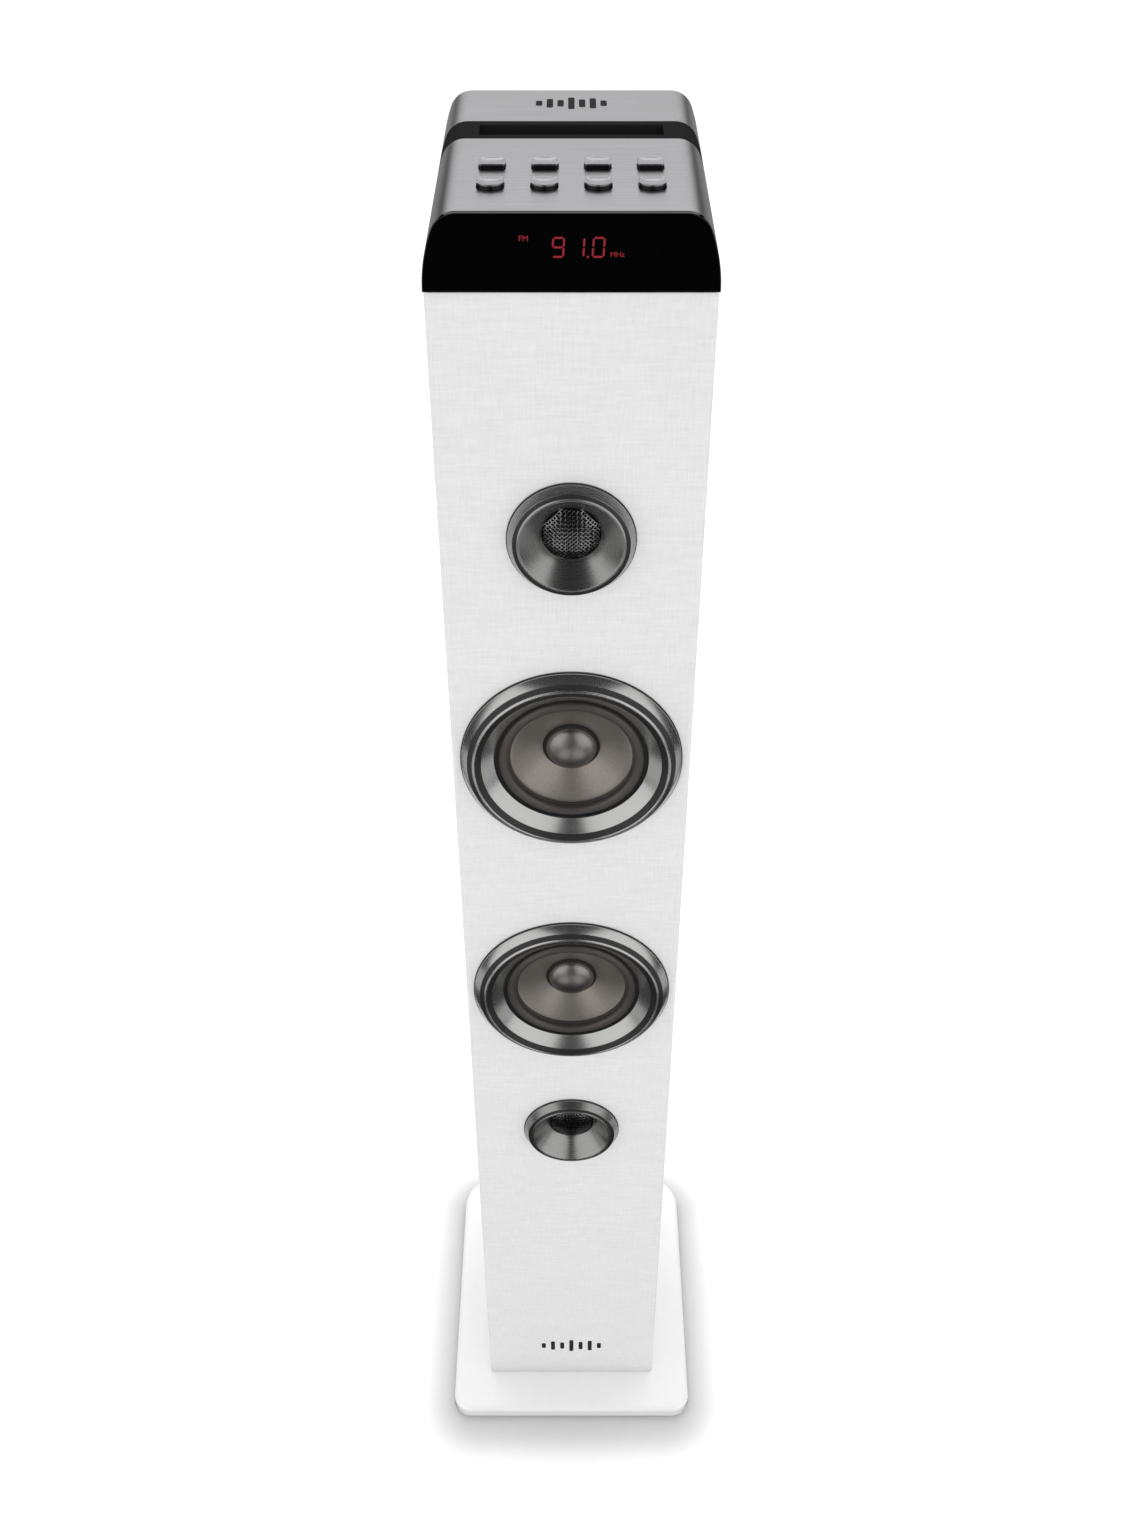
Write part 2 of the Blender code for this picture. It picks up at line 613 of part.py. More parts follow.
def head(finishes):
    """Display window, shells, device cradle, electronics and buttons."""
    cap_top = CAP_BOTTOM + CAP_HEIGHT
    window = lengthwise(cap_outline(0), WINDOW_FRONT, WINDOW_BACK)
    finish_object("display_window", window, finishes["gloss_black"])

    arch = cap_outline(0) + list(reversed(cap_outline(CAP_WALL)))
    shells = (
        ("front_shell", WINDOW_BACK + GAP, FRONT_SHELL_BACK - GAP / 2),
        ("rear_shell", CRADLE_BACK + GAP / 2, BACK - CAP_WALL - GAP),
    )
    made = {}
    for name, front, back in shells:
        made[name] = finish_object(name, lengthwise(arch, front, back), finishes["silver_brushed"])
    end_wall = lengthwise(cap_outline(0), BACK - CAP_WALL - 2 * GAP, BACK)
    boolean(made["rear_shell"], end_wall, "UNION")

    cradle_front = FRONT_SHELL_BACK + GAP / 2
    cradle_back = CRADLE_BACK - GAP / 2
    cradle = finish_object(
        "device_cradle", lengthwise(cap_outline(0), cradle_front, cradle_back), finishes["black_plastic"]
    )
    floor = cap_top - SLOT_DEPTH
    wall = CAP_WALL + GAP
    hollow = block(
        (-CRADLE_HOLLOW_HALF_WIDTH, cradle_front + wall, CAP_BOTTOM - OVERSHOOT),
        (CRADLE_HOLLOW_HALF_WIDTH, cradle_back - wall, floor - CAP_WALL),
    )
    boolean(cradle, hollow)
    slot_front = (cradle_front + cradle_back - SLOT_WIDTH) / 2 - SLOT_FORWARD
    slot_back = slot_front + SLOT_WIDTH
    lean = math.tan(SLOT_LEAN)
    section = [
        (slot_front, floor),
        (slot_back, floor),
        (slot_back + (SLOT_DEPTH + OVERSHOOT) * lean, cap_top + OVERSHOOT),
        (slot_front, cap_top + OVERSHOOT),
    ]
    half = SLOT_LENGTH / 2
    boolean(cradle, stacked([[(x, y, z) for y, z in section] for x in (-half, half)]))

    width, depth, height = DISPLAY_MODULE
    module_front = WINDOW_BACK + GAP
    module = block(
        (-width / 2, module_front, DISPLAY_MODULE_BOTTOM),
        (width / 2, module_front + depth, DISPLAY_MODULE_BOTTOM + height),
    )
    finish_object("display_module", module, finishes["display_red"])

    (low_x, low_y), (high_x, high_y) = CONTROL_BOARD_PLAN
    board_bottom = CONTROL_BOARD_TOP - CONTROL_BOARD_THICKNESS
    board = finish_object(
        "control_board",
        block((low_x, low_y, board_bottom), (high_x, high_y, CONTROL_BOARD_TOP)),
        finishes["circuit_green"],
    )
    shell_inside = cap_top - CAP_WALL
    flange_top = shell_inside - GAP
    flange_bottom = flange_top - BUTTON_FLANGE_THICKNESS
    switch_half = SWITCH_SIZE[0] / 2
    switch_top = CONTROL_BOARD_TOP + SWITCH_SIZE[1]
    stem_bottom = switch_top + GAP + BUTTON_TRAVEL
    button_top = cap_top + BUTTON_PROUD
    for row, y in BUTTON_ROWS.items():
        hole = button_outline(row, BUTTON_HOLE_CLEARANCE)
        cap = button_outline(row)
        flange = button_outline(row, BUTTON_FLANGE)
        stem = button_outline(row, 0, BUTTON_STEM_SCALE)
        rim = button_outline(row, -BUTTON_DISH[0])
        for i, x in enumerate(BUTTON_X):
            cutter = upright(hole, shell_inside - OVERSHOOT, cap_top + OVERSHOOT)
            boolean(made["front_shell"], cutter, location=(x, y, 0))
            switch_low = (-switch_half, -switch_half, board_bottom + GAP)
            switch = block(switch_low, (switch_half, switch_half, switch_top))
            boolean(board, switch, "UNION", (x, y, 0))
            levels = (
                (stem, stem_bottom),
                (stem, flange_bottom),
                (flange, flange_bottom),
                (flange, flange_top),
                (cap, flange_top),
                (cap, button_top),
                (rim, button_top - BUTTON_DISH[1]),
            )
            sections = [[(px, py, z - cap_top) for px, py in plan] for plan, z in levels]
            name = f"button_{row}_{i + 1}"
            axis = carrier(f"{name}_axis", (x, y, cap_top))
            piece = finish_object(name, stacked(sections), finishes["silver_brushed"])
            piece.parent = axis


def rear(finishes):
    """Rear panel with its sockets, and the electronics behind it."""
    panel_front = BACK - PANEL_REBATE + GAP
    panel_back = panel_front + PANEL_THICKNESS
    half_x, half_z = PANEL_SIZE[0] / 2, PANEL_SIZE[1] / 2
    plate = finish_object(
        "rear_panel",
        block(
            (-half_x, panel_front, PANEL_CENTRE_Z - half_z), (half_x, panel_back, PANEL_CENTRE_Z + half_z)
        ),
        finishes["black_plastic"],
    )

    def window(centre, size, clearance):
        x, z = size[0] / 2 + clearance, size[1] / 2 + clearance
        low = (centre[0] - x, panel_front - OVERSHOOT, centre[1] - z)
        boolean(plate, block(low, (centre[0] + x, panel_back + OVERSHOOT, centre[1] + z)))

    window(INLET_CENTRE, INLET_BODY, GAP)
    window(ROCKER_CENTRE, ROCKER_SIZE, 2 * GAP)

    x, z = INLET_BODY[0] / 2, INLET_BODY[1] / 2
    floor = panel_back - INLET_DEPTH
    place = (INLET_CENTRE[0], 0, INLET_CENTRE[1])
    body = block((-x, floor - INLET_WALL, -z), (x, panel_back, z))
    inlet = finish_object("mains_inlet", body, finishes["black_plastic"], place)
    x, z = INLET_CAVITY[0] / 2, INLET_CAVITY[1] / 2
    boolean(inlet, block((-x, floor, -z), (x, panel_back + OVERSHOOT, z)), location=place)
    x, z = INLET_PIN_HALF_SIZE
    for pin_x, pin_z in INLET_PINS:
        low = (pin_x - x, floor - INLET_WALL / 2, pin_z - z)
        pin = block(low, (pin_x + x, panel_back - INLET_PIN_SET_BACK, pin_z + z))
        boolean(inlet, pin, "UNION", place)

    x, z = ROCKER_SIZE[0] / 2, ROCKER_SIZE[1] / 2
    end_height = ROCKER_PROUD - z * math.tan(ROCKER_TIP) * 0.4
    section = [
        (-ROCKER_DEPTH, -z * 0.45),
        (-ROCKER_DEPTH, z * 0.45),
        (-2.0, z),
        (end_height, z),
        (0.4, 0.0),
        (end_height, -z),
        (-2.0, -z),
    ]
    rocker_axis = carrier("power_rocker_axis", (ROCKER_CENTRE[0], panel_back, ROCKER_CENTRE[1]))
    lever = stacked([[(px, y, pz) for y, pz in section] for px in (-x, x)])
    rocker = finish_object("power_rocker", lever, finishes["black_plastic"])
    rocker.rotation_euler.x = ROCKER_TIP
    rocker.parent = rocker_axis

    width, thickness, height = SOCKET_PLATE
    plate_back = panel_back + GAP + thickness
    socket_plate = block(
        (-width / 2, panel_back + GAP, SOCKET_Z - height / 2),
        (width / 2, plate_back, SOCKET_Z + height / 2),
    )
    sockets = finish_object("audio_input_sockets", socket_plate, finishes["black_plastic"])
    barrel_radius, barrel_length = SOCKET_BARREL
    bore_radius, bore_start = SOCKET_BORE
    for x in SOCKET_X:
        place = (x, plate_back, SOCKET_Z)
        barrel = disc(barrel_radius, -thickness / 2, barrel_length)
        boolean(sockets, turned(barrel, SMALL_STEPS), "UNION", place)
        bore = disc(bore_radius, bore_start, barrel_length + OVERSHOOT)
        boolean(sockets, turned(bore, SMALL_STEPS), location=place)

    (low_x, low_z), (high_x, high_z) = AMPLIFIER_BOARD
    board_y = panel_front - AMPLIFIER_BEHIND
    board = block((low_x, board_y, low_z), (high_x, board_y + BOARD_THICKNESS, high_z))
    amplifier = finish_object("amplifier_board", board, finishes["circuit_green"])
    (low_x, low_z), (high_x, high_z), reach = HEATSINK
    middle = board_y + BOARD_THICKNESS / 2
    boolean(amplifier, block((low_x, board_y - reach, low_z), (high_x, middle, high_z)), "UNION")
    can_radius, can_length = CAPACITOR
    for x, z in CAPACITORS:
        can = turned(disc(can_radius, 0, can_length), SMALL_STEPS)
        boolean(amplifier, can, "UNION", (x, middle - can_length, z))

    core_bottom = CABINET_BOTTOM + BOARD + GAP
    (low_x, low_y), (high_x, high_y), height = TRANSFORMER_CORE
    core = block((low_x, low_y, core_bottom), (high_x, high_y, core_bottom + height))
    transformer = finish_object("power_transformer", core, finishes["ferrite"])
    (low_x, low_y), (high_x, high_y), (low_z, high_z) = TRANSFORMER_WINDING
    winding = block((low_x, low_y, core_bottom + low_z), (high_x, high_y, core_bottom + high_z))
    boolean(transformer, winding, "UNION")


def build():
    """Clears the scene and models the whole column."""
    for existing in list(bpy.data.objects):
        bpy.data.objects.remove(existing, do_unlink=True)
    finishes = make_materials()
    base(finishes)
    cabinet(finishes)
    for side, height in WOOFER_HEIGHTS.items():
        woofer(side, height, finishes)
    for side, height in TWEETER_HEIGHTS.items():
        tweeter(side, height, finishes)
    head(finishes)
    rear(finishes)


build()
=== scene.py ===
"""Looks of the column PA system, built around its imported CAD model.

Lengths are millimetres and helpers turn them into Blender's metres. +Z is up and the front of the
column faces -Y. Every sub-assembly is a class: its fields hold its sizes, and its methods model the
pieces, dress them in a finish and tie them to the body that they move with.
"""

import logging
import math
from collections.abc import Callable, Iterator, Sequence
from contextlib import contextmanager
from dataclasses import dataclass
from enum import Enum
from itertools import pairwise

import bmesh
import bpy
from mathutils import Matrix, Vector


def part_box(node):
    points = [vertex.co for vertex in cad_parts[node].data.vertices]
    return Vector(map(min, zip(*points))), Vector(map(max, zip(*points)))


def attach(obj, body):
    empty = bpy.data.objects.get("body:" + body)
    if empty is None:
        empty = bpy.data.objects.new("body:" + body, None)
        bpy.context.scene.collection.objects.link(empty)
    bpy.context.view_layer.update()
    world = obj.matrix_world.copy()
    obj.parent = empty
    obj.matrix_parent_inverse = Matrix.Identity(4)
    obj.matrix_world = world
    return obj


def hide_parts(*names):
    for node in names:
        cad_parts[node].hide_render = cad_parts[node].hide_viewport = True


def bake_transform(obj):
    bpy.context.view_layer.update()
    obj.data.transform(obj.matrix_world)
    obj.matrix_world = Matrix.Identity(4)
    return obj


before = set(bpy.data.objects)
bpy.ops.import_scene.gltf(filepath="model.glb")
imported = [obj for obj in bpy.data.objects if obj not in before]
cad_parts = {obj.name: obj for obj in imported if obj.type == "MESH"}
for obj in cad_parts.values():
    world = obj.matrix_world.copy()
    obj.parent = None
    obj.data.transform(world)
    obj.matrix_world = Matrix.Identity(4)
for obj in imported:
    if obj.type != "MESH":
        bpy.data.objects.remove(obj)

MM = 0.001
MERGE = 0.000002  # metres; points closer than this are one point
ROOT_BODY = "column"
TURN_STEPS = 128  # sides of a turned piece
FINE_EDGE = 0.25  # width of the broken edge on a machined or moulded piece

LOG = logging.getLogger("column")

Profile = Sequence[tuple[float, float]]
Outline = list[tuple[float, float]]


class Axis(Enum):
    """The way that a flat outline is extruded, or the axis that a profile is turned about."""

    X = (1, 0, 0)
    Y = (0, 1, 0)
    Z = (0, 0, 1)

    def point(self, u: float, v: float, along: float) -> Vector:
        """A place from an outline's two values and the distance along the axis."""
        if self is Axis.X:
            return Vector((along, u, v))
        if self is Axis.Y:
            return Vector((u, along, v))
        return Vector((u, v, along))


class Element(Enum):
    """What an edit-mode selection picks."""

    VERTEX = "VERT"
    EDGE = "EDGE"
    FACE = "FACE"


class Carve(Enum):
    """What a second solid does to a piece."""

    CUT = "DIFFERENCE"
    JOIN = "UNION"


class Level(Enum):
    """Which of a pair of like drivers."""

    UPPER = "upper"
    LOWER = "lower"


class Row(Enum):
    """A row of buttons: the way its rounded side faces."""

    FRONT = -1
    REAR = 1


# ---------------------------------------------------------------------------------------------------
# Places in the frame


def span(node: str) -> tuple[Vector, Vector]:
    """Lowest and highest corner of a CAD node, in millimetres."""
    low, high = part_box(node)
    return low / MM, high / MM


def middle(node: str) -> Vector:
    """Middle of a CAD node's box, in millimetres."""
    low, high = span(node)
    return (low + high) / 2


def arc(centre: tuple[float, float], radius: float, start: float, end: float, count: int) -> Outline:
    """Points along an arc.

    Args:
        centre: The arc's centre.
        radius: Its radius.
        start: Angle of its first point, in degrees.
        end: Angle of its last point, in degrees.
        count: How many chords it has.

    Returns:
        The points, both ends included.
    """
    angles = [math.radians(start + (end - start) * i / count) for i in range(count + 1)]
    return [(centre[0] + radius * math.cos(a), centre[1] + radius * math.sin(a)) for a in angles]


def rounded_box_outline(width: float, depth: float, radii: Sequence[float], count: int) -> Outline:
    """Outline of a rectangle about the origin with its own radius at each corner.

    Args:
        width: Size along the outline's first axis.
        depth: Size along its second axis.
        radii: Corner radii, from the corner at +u -v anticlockwise.
        count: Chords in each corner.

    Returns:
        The outline's points, anticlockwise.
    """
    u, v = width / 2, depth / 2
    outline: Outline = []
    for (side_u, side_v, start), radius in zip(((1, -1, 270), (1, 1, 0), (-1, 1, 90), (-1, -1, 180)), radii):
        corner = (side_u * (u - radius), side_v * (v - radius))
        outline += arc(corner, radius, start, start + 90, count) if radius else [corner]
    return outline


# ---------------------------------------------------------------------------------------------------
# Modelling by operators


def activate(piece: bpy.types.Object) -> None:
    """Makes a piece the only selected object, and the active one."""
    for other in bpy.context.selected_objects:
        other.select_set(False)
    piece.select_set(True)
    bpy.context.view_layer.objects.active = piece


@contextmanager
def editing(piece: bpy.types.Object) -> Iterator[None]:
    """Holds one piece in edit mode, with nothing selected at first."""
    activate(piece)
    bpy.ops.object.mode_set(mode="EDIT")
    bpy.ops.mesh.select_mode(type=Element.VERTEX.value)
    bpy.ops.mesh.select_all(action="DESELECT")
    yield
    bpy.ops.object.mode_set(mode="OBJECT")


def pick(piece: bpy.types.Object, kind: Element, test: Callable[[Vector, Vector], bool]) -> int:
    """Selects, in edit mode, the elements that pass a test.

    Args:
        piece: The piece that is being edited.
        kind: Vertices, edges or faces.
        test: Takes an element's middle in millimetres and its normal, or an edge's direction.

    Returns:
        How many elements were selected.
    """
    bpy.ops.mesh.select_mode(type=kind.value)
    bpy.ops.mesh.select_all(action="DESELECT")
    shape = bmesh.from_edit_mesh(piece.data)
    found = 0
    for item in {Element.VERTEX: shape.verts, Element.EDGE: shape.edges, Element.FACE: shape.faces}[kind]:
        if kind is Element.VERTEX:
            place, way = item.co, item.normal
        elif kind is Element.EDGE:
            ends = [vertex.co for vertex in item.verts]
            place, way = (ends[0] + ends[1]) / 2, (ends[1] - ends[0]).normalized()
        else:
            place, way = item.calc_center_median(), item.normal
        if test(place / MM, way):
            item.select_set(True)
            found += 1
    bmesh.update_edit_mesh(piece.data)
    return found


def shift_selection(offset: Sequence[float]) -> None:
    """Moves what is selected in edit mode by an offset in millimetres."""
    bpy.ops.transform.translate(value=Vector(offset) * MM)


def close_up() -> None:
    """In edit mode, merges doubled points and turns every face outwards."""
    bpy.ops.mesh.select_all(action="SELECT")
    bpy.ops.mesh.remove_doubles(threshold=MERGE)
    bpy.ops.mesh.normals_make_consistent(inside=False)


def trace(name: str, points: Sequence[Vector], closed: bool) -> bpy.types.Object:
    """Draws a chain of edges: one vertex is extruded from each point to the next.

    Args:
        name: The new piece's name.
        points: Places in millimetres.
        closed: Whether the chain returns to its first point.

    Returns:
        The piece, which has edges only.
    """
    bpy.ops.mesh.primitive_plane_add(size=MM, location=points[0] * MM)
    piece = bpy.context.object
    piece.name = piece.data.name = name
    bpy.ops.object.transform_apply(location=True, rotation=True, scale=True)
    with editing(piece):
        bpy.ops.mesh.select_all(action="SELECT")
        bpy.ops.mesh.merge(type="CENTER")
        for start, end in pairwise([*points, points[0]] if closed else points):
            bpy.ops.mesh.extrude_vertices_move(TRANSFORM_OT_translate={"value": (end - start) * MM})
        bpy.ops.mesh.select_all(action="SELECT")
        bpy.ops.mesh.remove_doubles(threshold=MERGE)
    return piece


def apply_modifier(piece: bpy.types.Object, kind: str, **settings: object) -> None:
    """Adds a modifier with its settings and applies it.

    Args:
        piece: The piece to change.
        kind: The modifier's type.
        settings: Its attributes and their values.
    """
    activate(piece)
    modifier = piece.modifiers.new(kind.lower(), kind)
    for key, value in settings.items():
        setattr(modifier, key, value)
    bpy.ops.object.modifier_apply(modifier=modifier.name)


def smooth(piece: bpy.types.Object, edge: float = 0.0, segments: int = 2, limit: float = 28.0) -> None:
    """Breaks a piece's sharp edges and shades it.

    Args:
        piece: The piece to finish.
        edge: Width of the broken edge, or 0 to leave the edges sharp.
        segments: Faces across that edge.
        limit: Edges that turn by less than this many degrees aren't broken.
    """
    if edge:
        apply_modifier(
            piece,
            "BEVEL",
            width=edge * MM,
            segments=segments,
            limit_method="ANGLE",
            angle_limit=math.radians(limit),
            use_clamp_overlap=True,
        )
    activate(piece)
    bpy.ops.object.shade_smooth_by_angle(angle=math.radians(50.0 if edge else 35.0))
    apply_modifier(piece, "WEIGHTED_NORMAL", keep_sharp=True)


def turn(
    name: str,
    profile: Profile,
    place: Vector,
    axis: Axis = Axis.Y,
    edge: float = FINE_EDGE,
    steps: int = TURN_STEPS,
) -> bpy.types.Object:
    """Turns a profile into a solid of revolution.

    Args:
        name: The new piece's name.
        profile: Points of radius and distance along the axis; one that starts and ends on the axis
            is left open there, any other is closed.
        place: The point on the axis that distances are measured from.
        axis: The axis of revolution.
        edge: Width of its broken edges.
        steps: How many sides it has.

    Returns:
        The piece, shaded.
    """
    if axis is Axis.Z:
        points = [place + Vector((radius, 0, along)) for radius, along in profile]
    else:
        points = [place + Vector((radius, along, 0)) for radius, along in profile]
    piece = trace(name, points, closed=profile[0][0] > 0)
    with editing(piece):
        bpy.ops.mesh.select_all(action="SELECT")
        bpy.ops.mesh.spin(steps=steps, angle=math.tau, center=place * MM, axis=axis.value)
        close_up()
    smooth(piece, edge)
    return piece


def prism(name: str, outline: Outline, start: float, end: float, axis: Axis) -> bpy.types.Object:
    """Extrudes a flat outline into a solid.

    Args:
        name: The new piece's name.
        outline: The outline's points in the plane across the axis.
        start: Where the solid starts along the axis.
        end: Where it ends.
        axis: The way that it is extruded.

    Returns:
        The piece, with sharp edges.
    """
    piece = trace(name, [axis.point(u, v, start) for u, v in outline], closed=True)
    with editing(piece):
        bpy.ops.mesh.select_all(action="SELECT")
        bpy.ops.mesh.edge_face_add()
        reach = Vector(axis.value) * (end - start) * MM
        bpy.ops.mesh.extrude_region_move(TRANSFORM_OT_translate={"value": reach})
        close_up()
    return piece


def slab(name: str, low: Sequence[float], high: Sequence[float]) -> bpy.types.Object:
    """A cuboid between two corners, to be shaped further or used as a tool.

    Args:
        name: The new piece's name.
        low: Its lowest corner.
        high: Its highest corner.

    Returns:
        The piece, with sharp edges.
    """
    low_corner, high_corner = Vector(low), Vector(high)
    bpy.ops.mesh.primitive_cube_add(size=1, location=(low_corner + high_corner) / 2 * MM)
    piece = bpy.context.object
    piece.name = piece.data.name = name
    piece.scale = (high_corner - low_corner) * MM
    bpy.ops.object.transform_apply(location=True, rotation=True, scale=True)
    return piece


def carve(piece: bpy.types.Object, tool: bpy.types.Object, operation: Carve = Carve.CUT) -> None:
    """Cuts a piece with a tool, or joins the tool to it, and removes the tool.

    Args:
        piece: The piece to change.
        tool: The other solid.
        operation: What the tool does.
    """
    apply_modifier(piece, "BOOLEAN", operation=operation.value, solver="EXACT", object=tool)
    bpy.data.objects.remove(tool, do_unlink=True)


def copy_of(piece: bpy.types.Object, name: str, offset: Sequence[float]) -> bpy.types.Object:
    """Copies a finished piece, with a mesh of its own.

    Args:
        piece: The piece to copy.
        name: The copy's name.
        offset: How far the copy is moved.

    Returns:
        The copy.
    """
    activate(piece)
    bpy.ops.object.duplicate(linked=False)
    copy = bpy.context.object
    copy.name = copy.data.name = name
    copy.location = Vector(offset) * MM
    bpy.ops.object.transform_apply(location=True, rotation=True, scale=True)
    return copy


def joined(pieces: Sequence[bpy.types.Object], name: str) -> bpy.types.Object:
    """Joins several meshes into one piece.

    Args:
        pieces: The meshes, of which the first one keeps its place.
        name: The joined piece's name.

    Returns:
        The joined piece.
    """
    activate(pieces[0])
    for piece in pieces[1:]:
        piece.select_set(True)
    bpy.ops.object.join()
    whole = bpy.context.object
    whole.name = whole.data.name = name
    return whole


def spun_about(piece: bpy.types.Object, place: Vector, degrees: float, axis: Axis) -> None:
    """Turns a whole mesh about a point.

    Args:
        piece: The piece to turn.
        place: A point on the axis.
        degrees: How far it turns, anticlockwise seen from the axis' far end.
        axis: The axis.
    """
    with editing(piece):
        bpy.ops.mesh.select_all(action="SELECT")
        bpy.ops.transform.rotate(
            value=-math.radians(degrees), orient_axis=axis.name, center_override=place * MM
        )


# ---------------------------------------------------------------------------------------------------
# Finishes


def linear(colour: str) -> tuple[float, float, float, float]:
    """Turns an sRGB hex colour into the linear values that Blender's sockets take."""
    channels = [int(colour[i : i + 2], 16) / 255 for i in (1, 3, 5)]
    red, green, blue = [c / 12.92 if c <= 0.04045 else ((c + 0.055) / 1.055) ** 2.4 for c in channels]
    return red, green, blue, 1.0


def add_node(
    tree: bpy.types.NodeTree,
    kind: str,
    settings: dict[str | int, object] | None = None,
    links: dict[str | int, bpy.types.NodeSocket] | None = None,
) -> bpy.types.Node:
    """Adds a node with its settings and links.

    Args:
        tree: The material's or the world's node tree.
        kind: The node's type.
        settings: Values for the node's sockets, by name or number, and for its attributes.
        links: Sockets that feed the node's own, by name or number.

    Returns:
        The new node.
    """
    node = tree.nodes.new(kind)
    for key, value in (settings or {}).items():
        if isinstance(key, int) or key in node.inputs:
            node.inputs[key].default_value = value
        else:
            setattr(node, key, value)
    for key, socket in (links or {}).items():
        tree.links.new(socket, node.inputs[key])
    return node


@dataclass(frozen=True)
class Finish:
    """A finish: what the stuff is, and how its fine pattern changes colour, gloss and relief.

    The pattern of this class is an even grain, as on moulded, cast or sprayed stuff. Sizes are
    millimetres on the real surface.
    """

    title: str
    colour: str
    second: str
    roughness: float
    rough_spread: float = 0.05
    metallic: float = 0.0
    ior: float = 1.5
    coat: float = 0.0
    coat_roughness: float = 0.05
    sheen: float = 0.0
    grain: float = 1.0
    relief: float = 0.01
    stretch: tuple[float, float, float] = (1.0, 1.0, 1.0)
    detail: float = 3.0
    patch: float = 60.0
    patch_share: float = 0.25

    def material(self) -> bpy.types.Material:
        """The finish as a Blender material, made once."""
        made = bpy.data.materials.get(self.title)
        return made if made is not None else self.make()

    def make(self) -> bpy.types.Material:
        """Builds the material: a shader, the pattern, and what the pattern drives."""
        made = bpy.data.materials.new(self.title)
        made.use_nodes = True
        tree = made.node_tree
        shader = tree.nodes["Principled BSDF"]
        for socket, value in (
            ("Metallic", self.metallic),
            ("IOR", self.ior),
            ("Coat Weight", self.coat),
            ("Coat Roughness", self.coat_roughness),
            ("Sheen Weight", self.sheen),
        ):
            shader.inputs[socket].default_value = value
        place = add_node(tree, "ShaderNodeTexCoord").outputs["Object"]
        fine = self.pattern(tree, place)
        broad = add_node(
            tree,
            "ShaderNodeTexNoise",
            {"Scale": 1 / (self.patch * MM), "Detail": 2.0},
            {"Vector": place},
        ).outputs["Fac"]
        tone = add_node(
            tree, "ShaderNodeMix", {0: self.patch_share}, {2: fine, 3: broad}
        ).outputs[0]
        colour = add_node(
            tree,
            "ShaderNodeMix",
            {"data_type": "RGBA", 6: linear(self.colour), 7: linear(self.second)},
            {0: tone},
        ).outputs[2]
        gloss = add_node(
            tree,
            "ShaderNodeMapRange",
            {"To Min": self.roughness - self.rough_spread, "To Max": self.roughness + self.rough_spread},
            {"Value": tone},
        ).outputs["Result"]
        bump = add_node(
            tree, "ShaderNodeBump", {"Distance": self.relief * MM, "Strength": 1.0}, {"Height": fine}
        ).outputs["Normal"]
        tree.links.new(colour, shader.inputs["Base Color"])
        tree.links.new(gloss, shader.inputs["Roughness"])
        tree.links.new(bump, shader.inputs["Normal"])
        made.diffuse_color = linear(self.colour)
        return made

    def pattern(self, tree: bpy.types.NodeTree, place: bpy.types.NodeSocket) -> bpy.types.NodeSocket:
        """The fine pattern, from 0 to 1.

        Args:
            tree: The material's node tree.
            place: The point on the piece.

        Returns:
            The socket that gives the pattern.
        """
        mapped = add_node(
            tree, "ShaderNodeMapping", {"Scale": self.stretch}, {"Vector": place}
        ).outputs["Vector"]
        return add_node(
            tree,
            "ShaderNodeTexNoise",
            {"Scale": 1 / (self.grain * MM), "Detail": self.detail},
            {"Vector": mapped},
        ).outputs["Fac"]


@dataclass(frozen=True)
class LinenVinyl(Finish):
    """Vinyl foil with a linen grain: crossed threads with slubs, printed and embossed.

    The grain is the thread's width and slub how long a thick stretch of thread is. Real linen foil
    has two threads to the millimetre; they are drawn coarser here, so that they show at a distance.
    """

    slub: float = 14.0

    def pattern(self, tree: bpy.types.NodeTree, place: bpy.types.NodeSocket) -> bpy.types.NodeSocket:
        """Crossed threads: noise drawn out along X and Y, and noise drawn out along Z."""
        fine, long = 1 / (self.grain * MM), 1 / (self.slub * MM)
        threads = []
        for scale in ((long, long, fine), (fine, fine, long)):
            mapped = add_node(
                tree, "ShaderNodeMapping", {"Scale": scale}, {"Vector": place}
            ).outputs["Vector"]
            threads.append(
                add_node(
                    tree,
                    "ShaderNodeTexNoise",
                    {"Scale": 1.0, "Detail": self.detail, "Roughness": 0.6},
                    {"Vector": mapped},
                ).outputs["Fac"]
            )
        crossed = add_node(tree, "ShaderNodeMix", {0: 0.5}, {2: threads[0], 3: threads[1]}).outputs[0]
        return add_node(
            tree, "ShaderNodeMapRange", {"From Min": 0.36, "From Max": 0.64}, {"Value": crossed}
        ).outputs["Result"]


@dataclass(frozen=True)
class Turned(Finish):
    """Metal or card worked on a lathe: fine rings about an axis along Y.

    The grain is the pitch of the rings, and centre is where the axis crosses X and Z.
    """

    centre: tuple[float, float] = (0.0, 0.0)

    def pattern(self, tree: bpy.types.NodeTree, place: bpy.types.NodeSocket) -> bpy.types.NodeSocket:
        """Noise on the distance from the axis."""
        x, z = self.centre
        flat = add_node(
            tree,
            "ShaderNodeMapping",
            {"Location": (-x * MM, 0, -z * MM), "Scale": (1, 0, 1)},
            {"Vector": place},
        ).outputs["Vector"]
        radius = add_node(
            tree, "ShaderNodeVectorMath", {"operation": "LENGTH"}, {0: flat}
        ).outputs["Value"]
        return add_node(
            tree,
            "ShaderNodeTexNoise",
            {"noise_dimensions": "1D", "Scale": 1 / (self.grain * MM), "Detail": self.detail},
            {"W": radius},
        ).outputs["Fac"]


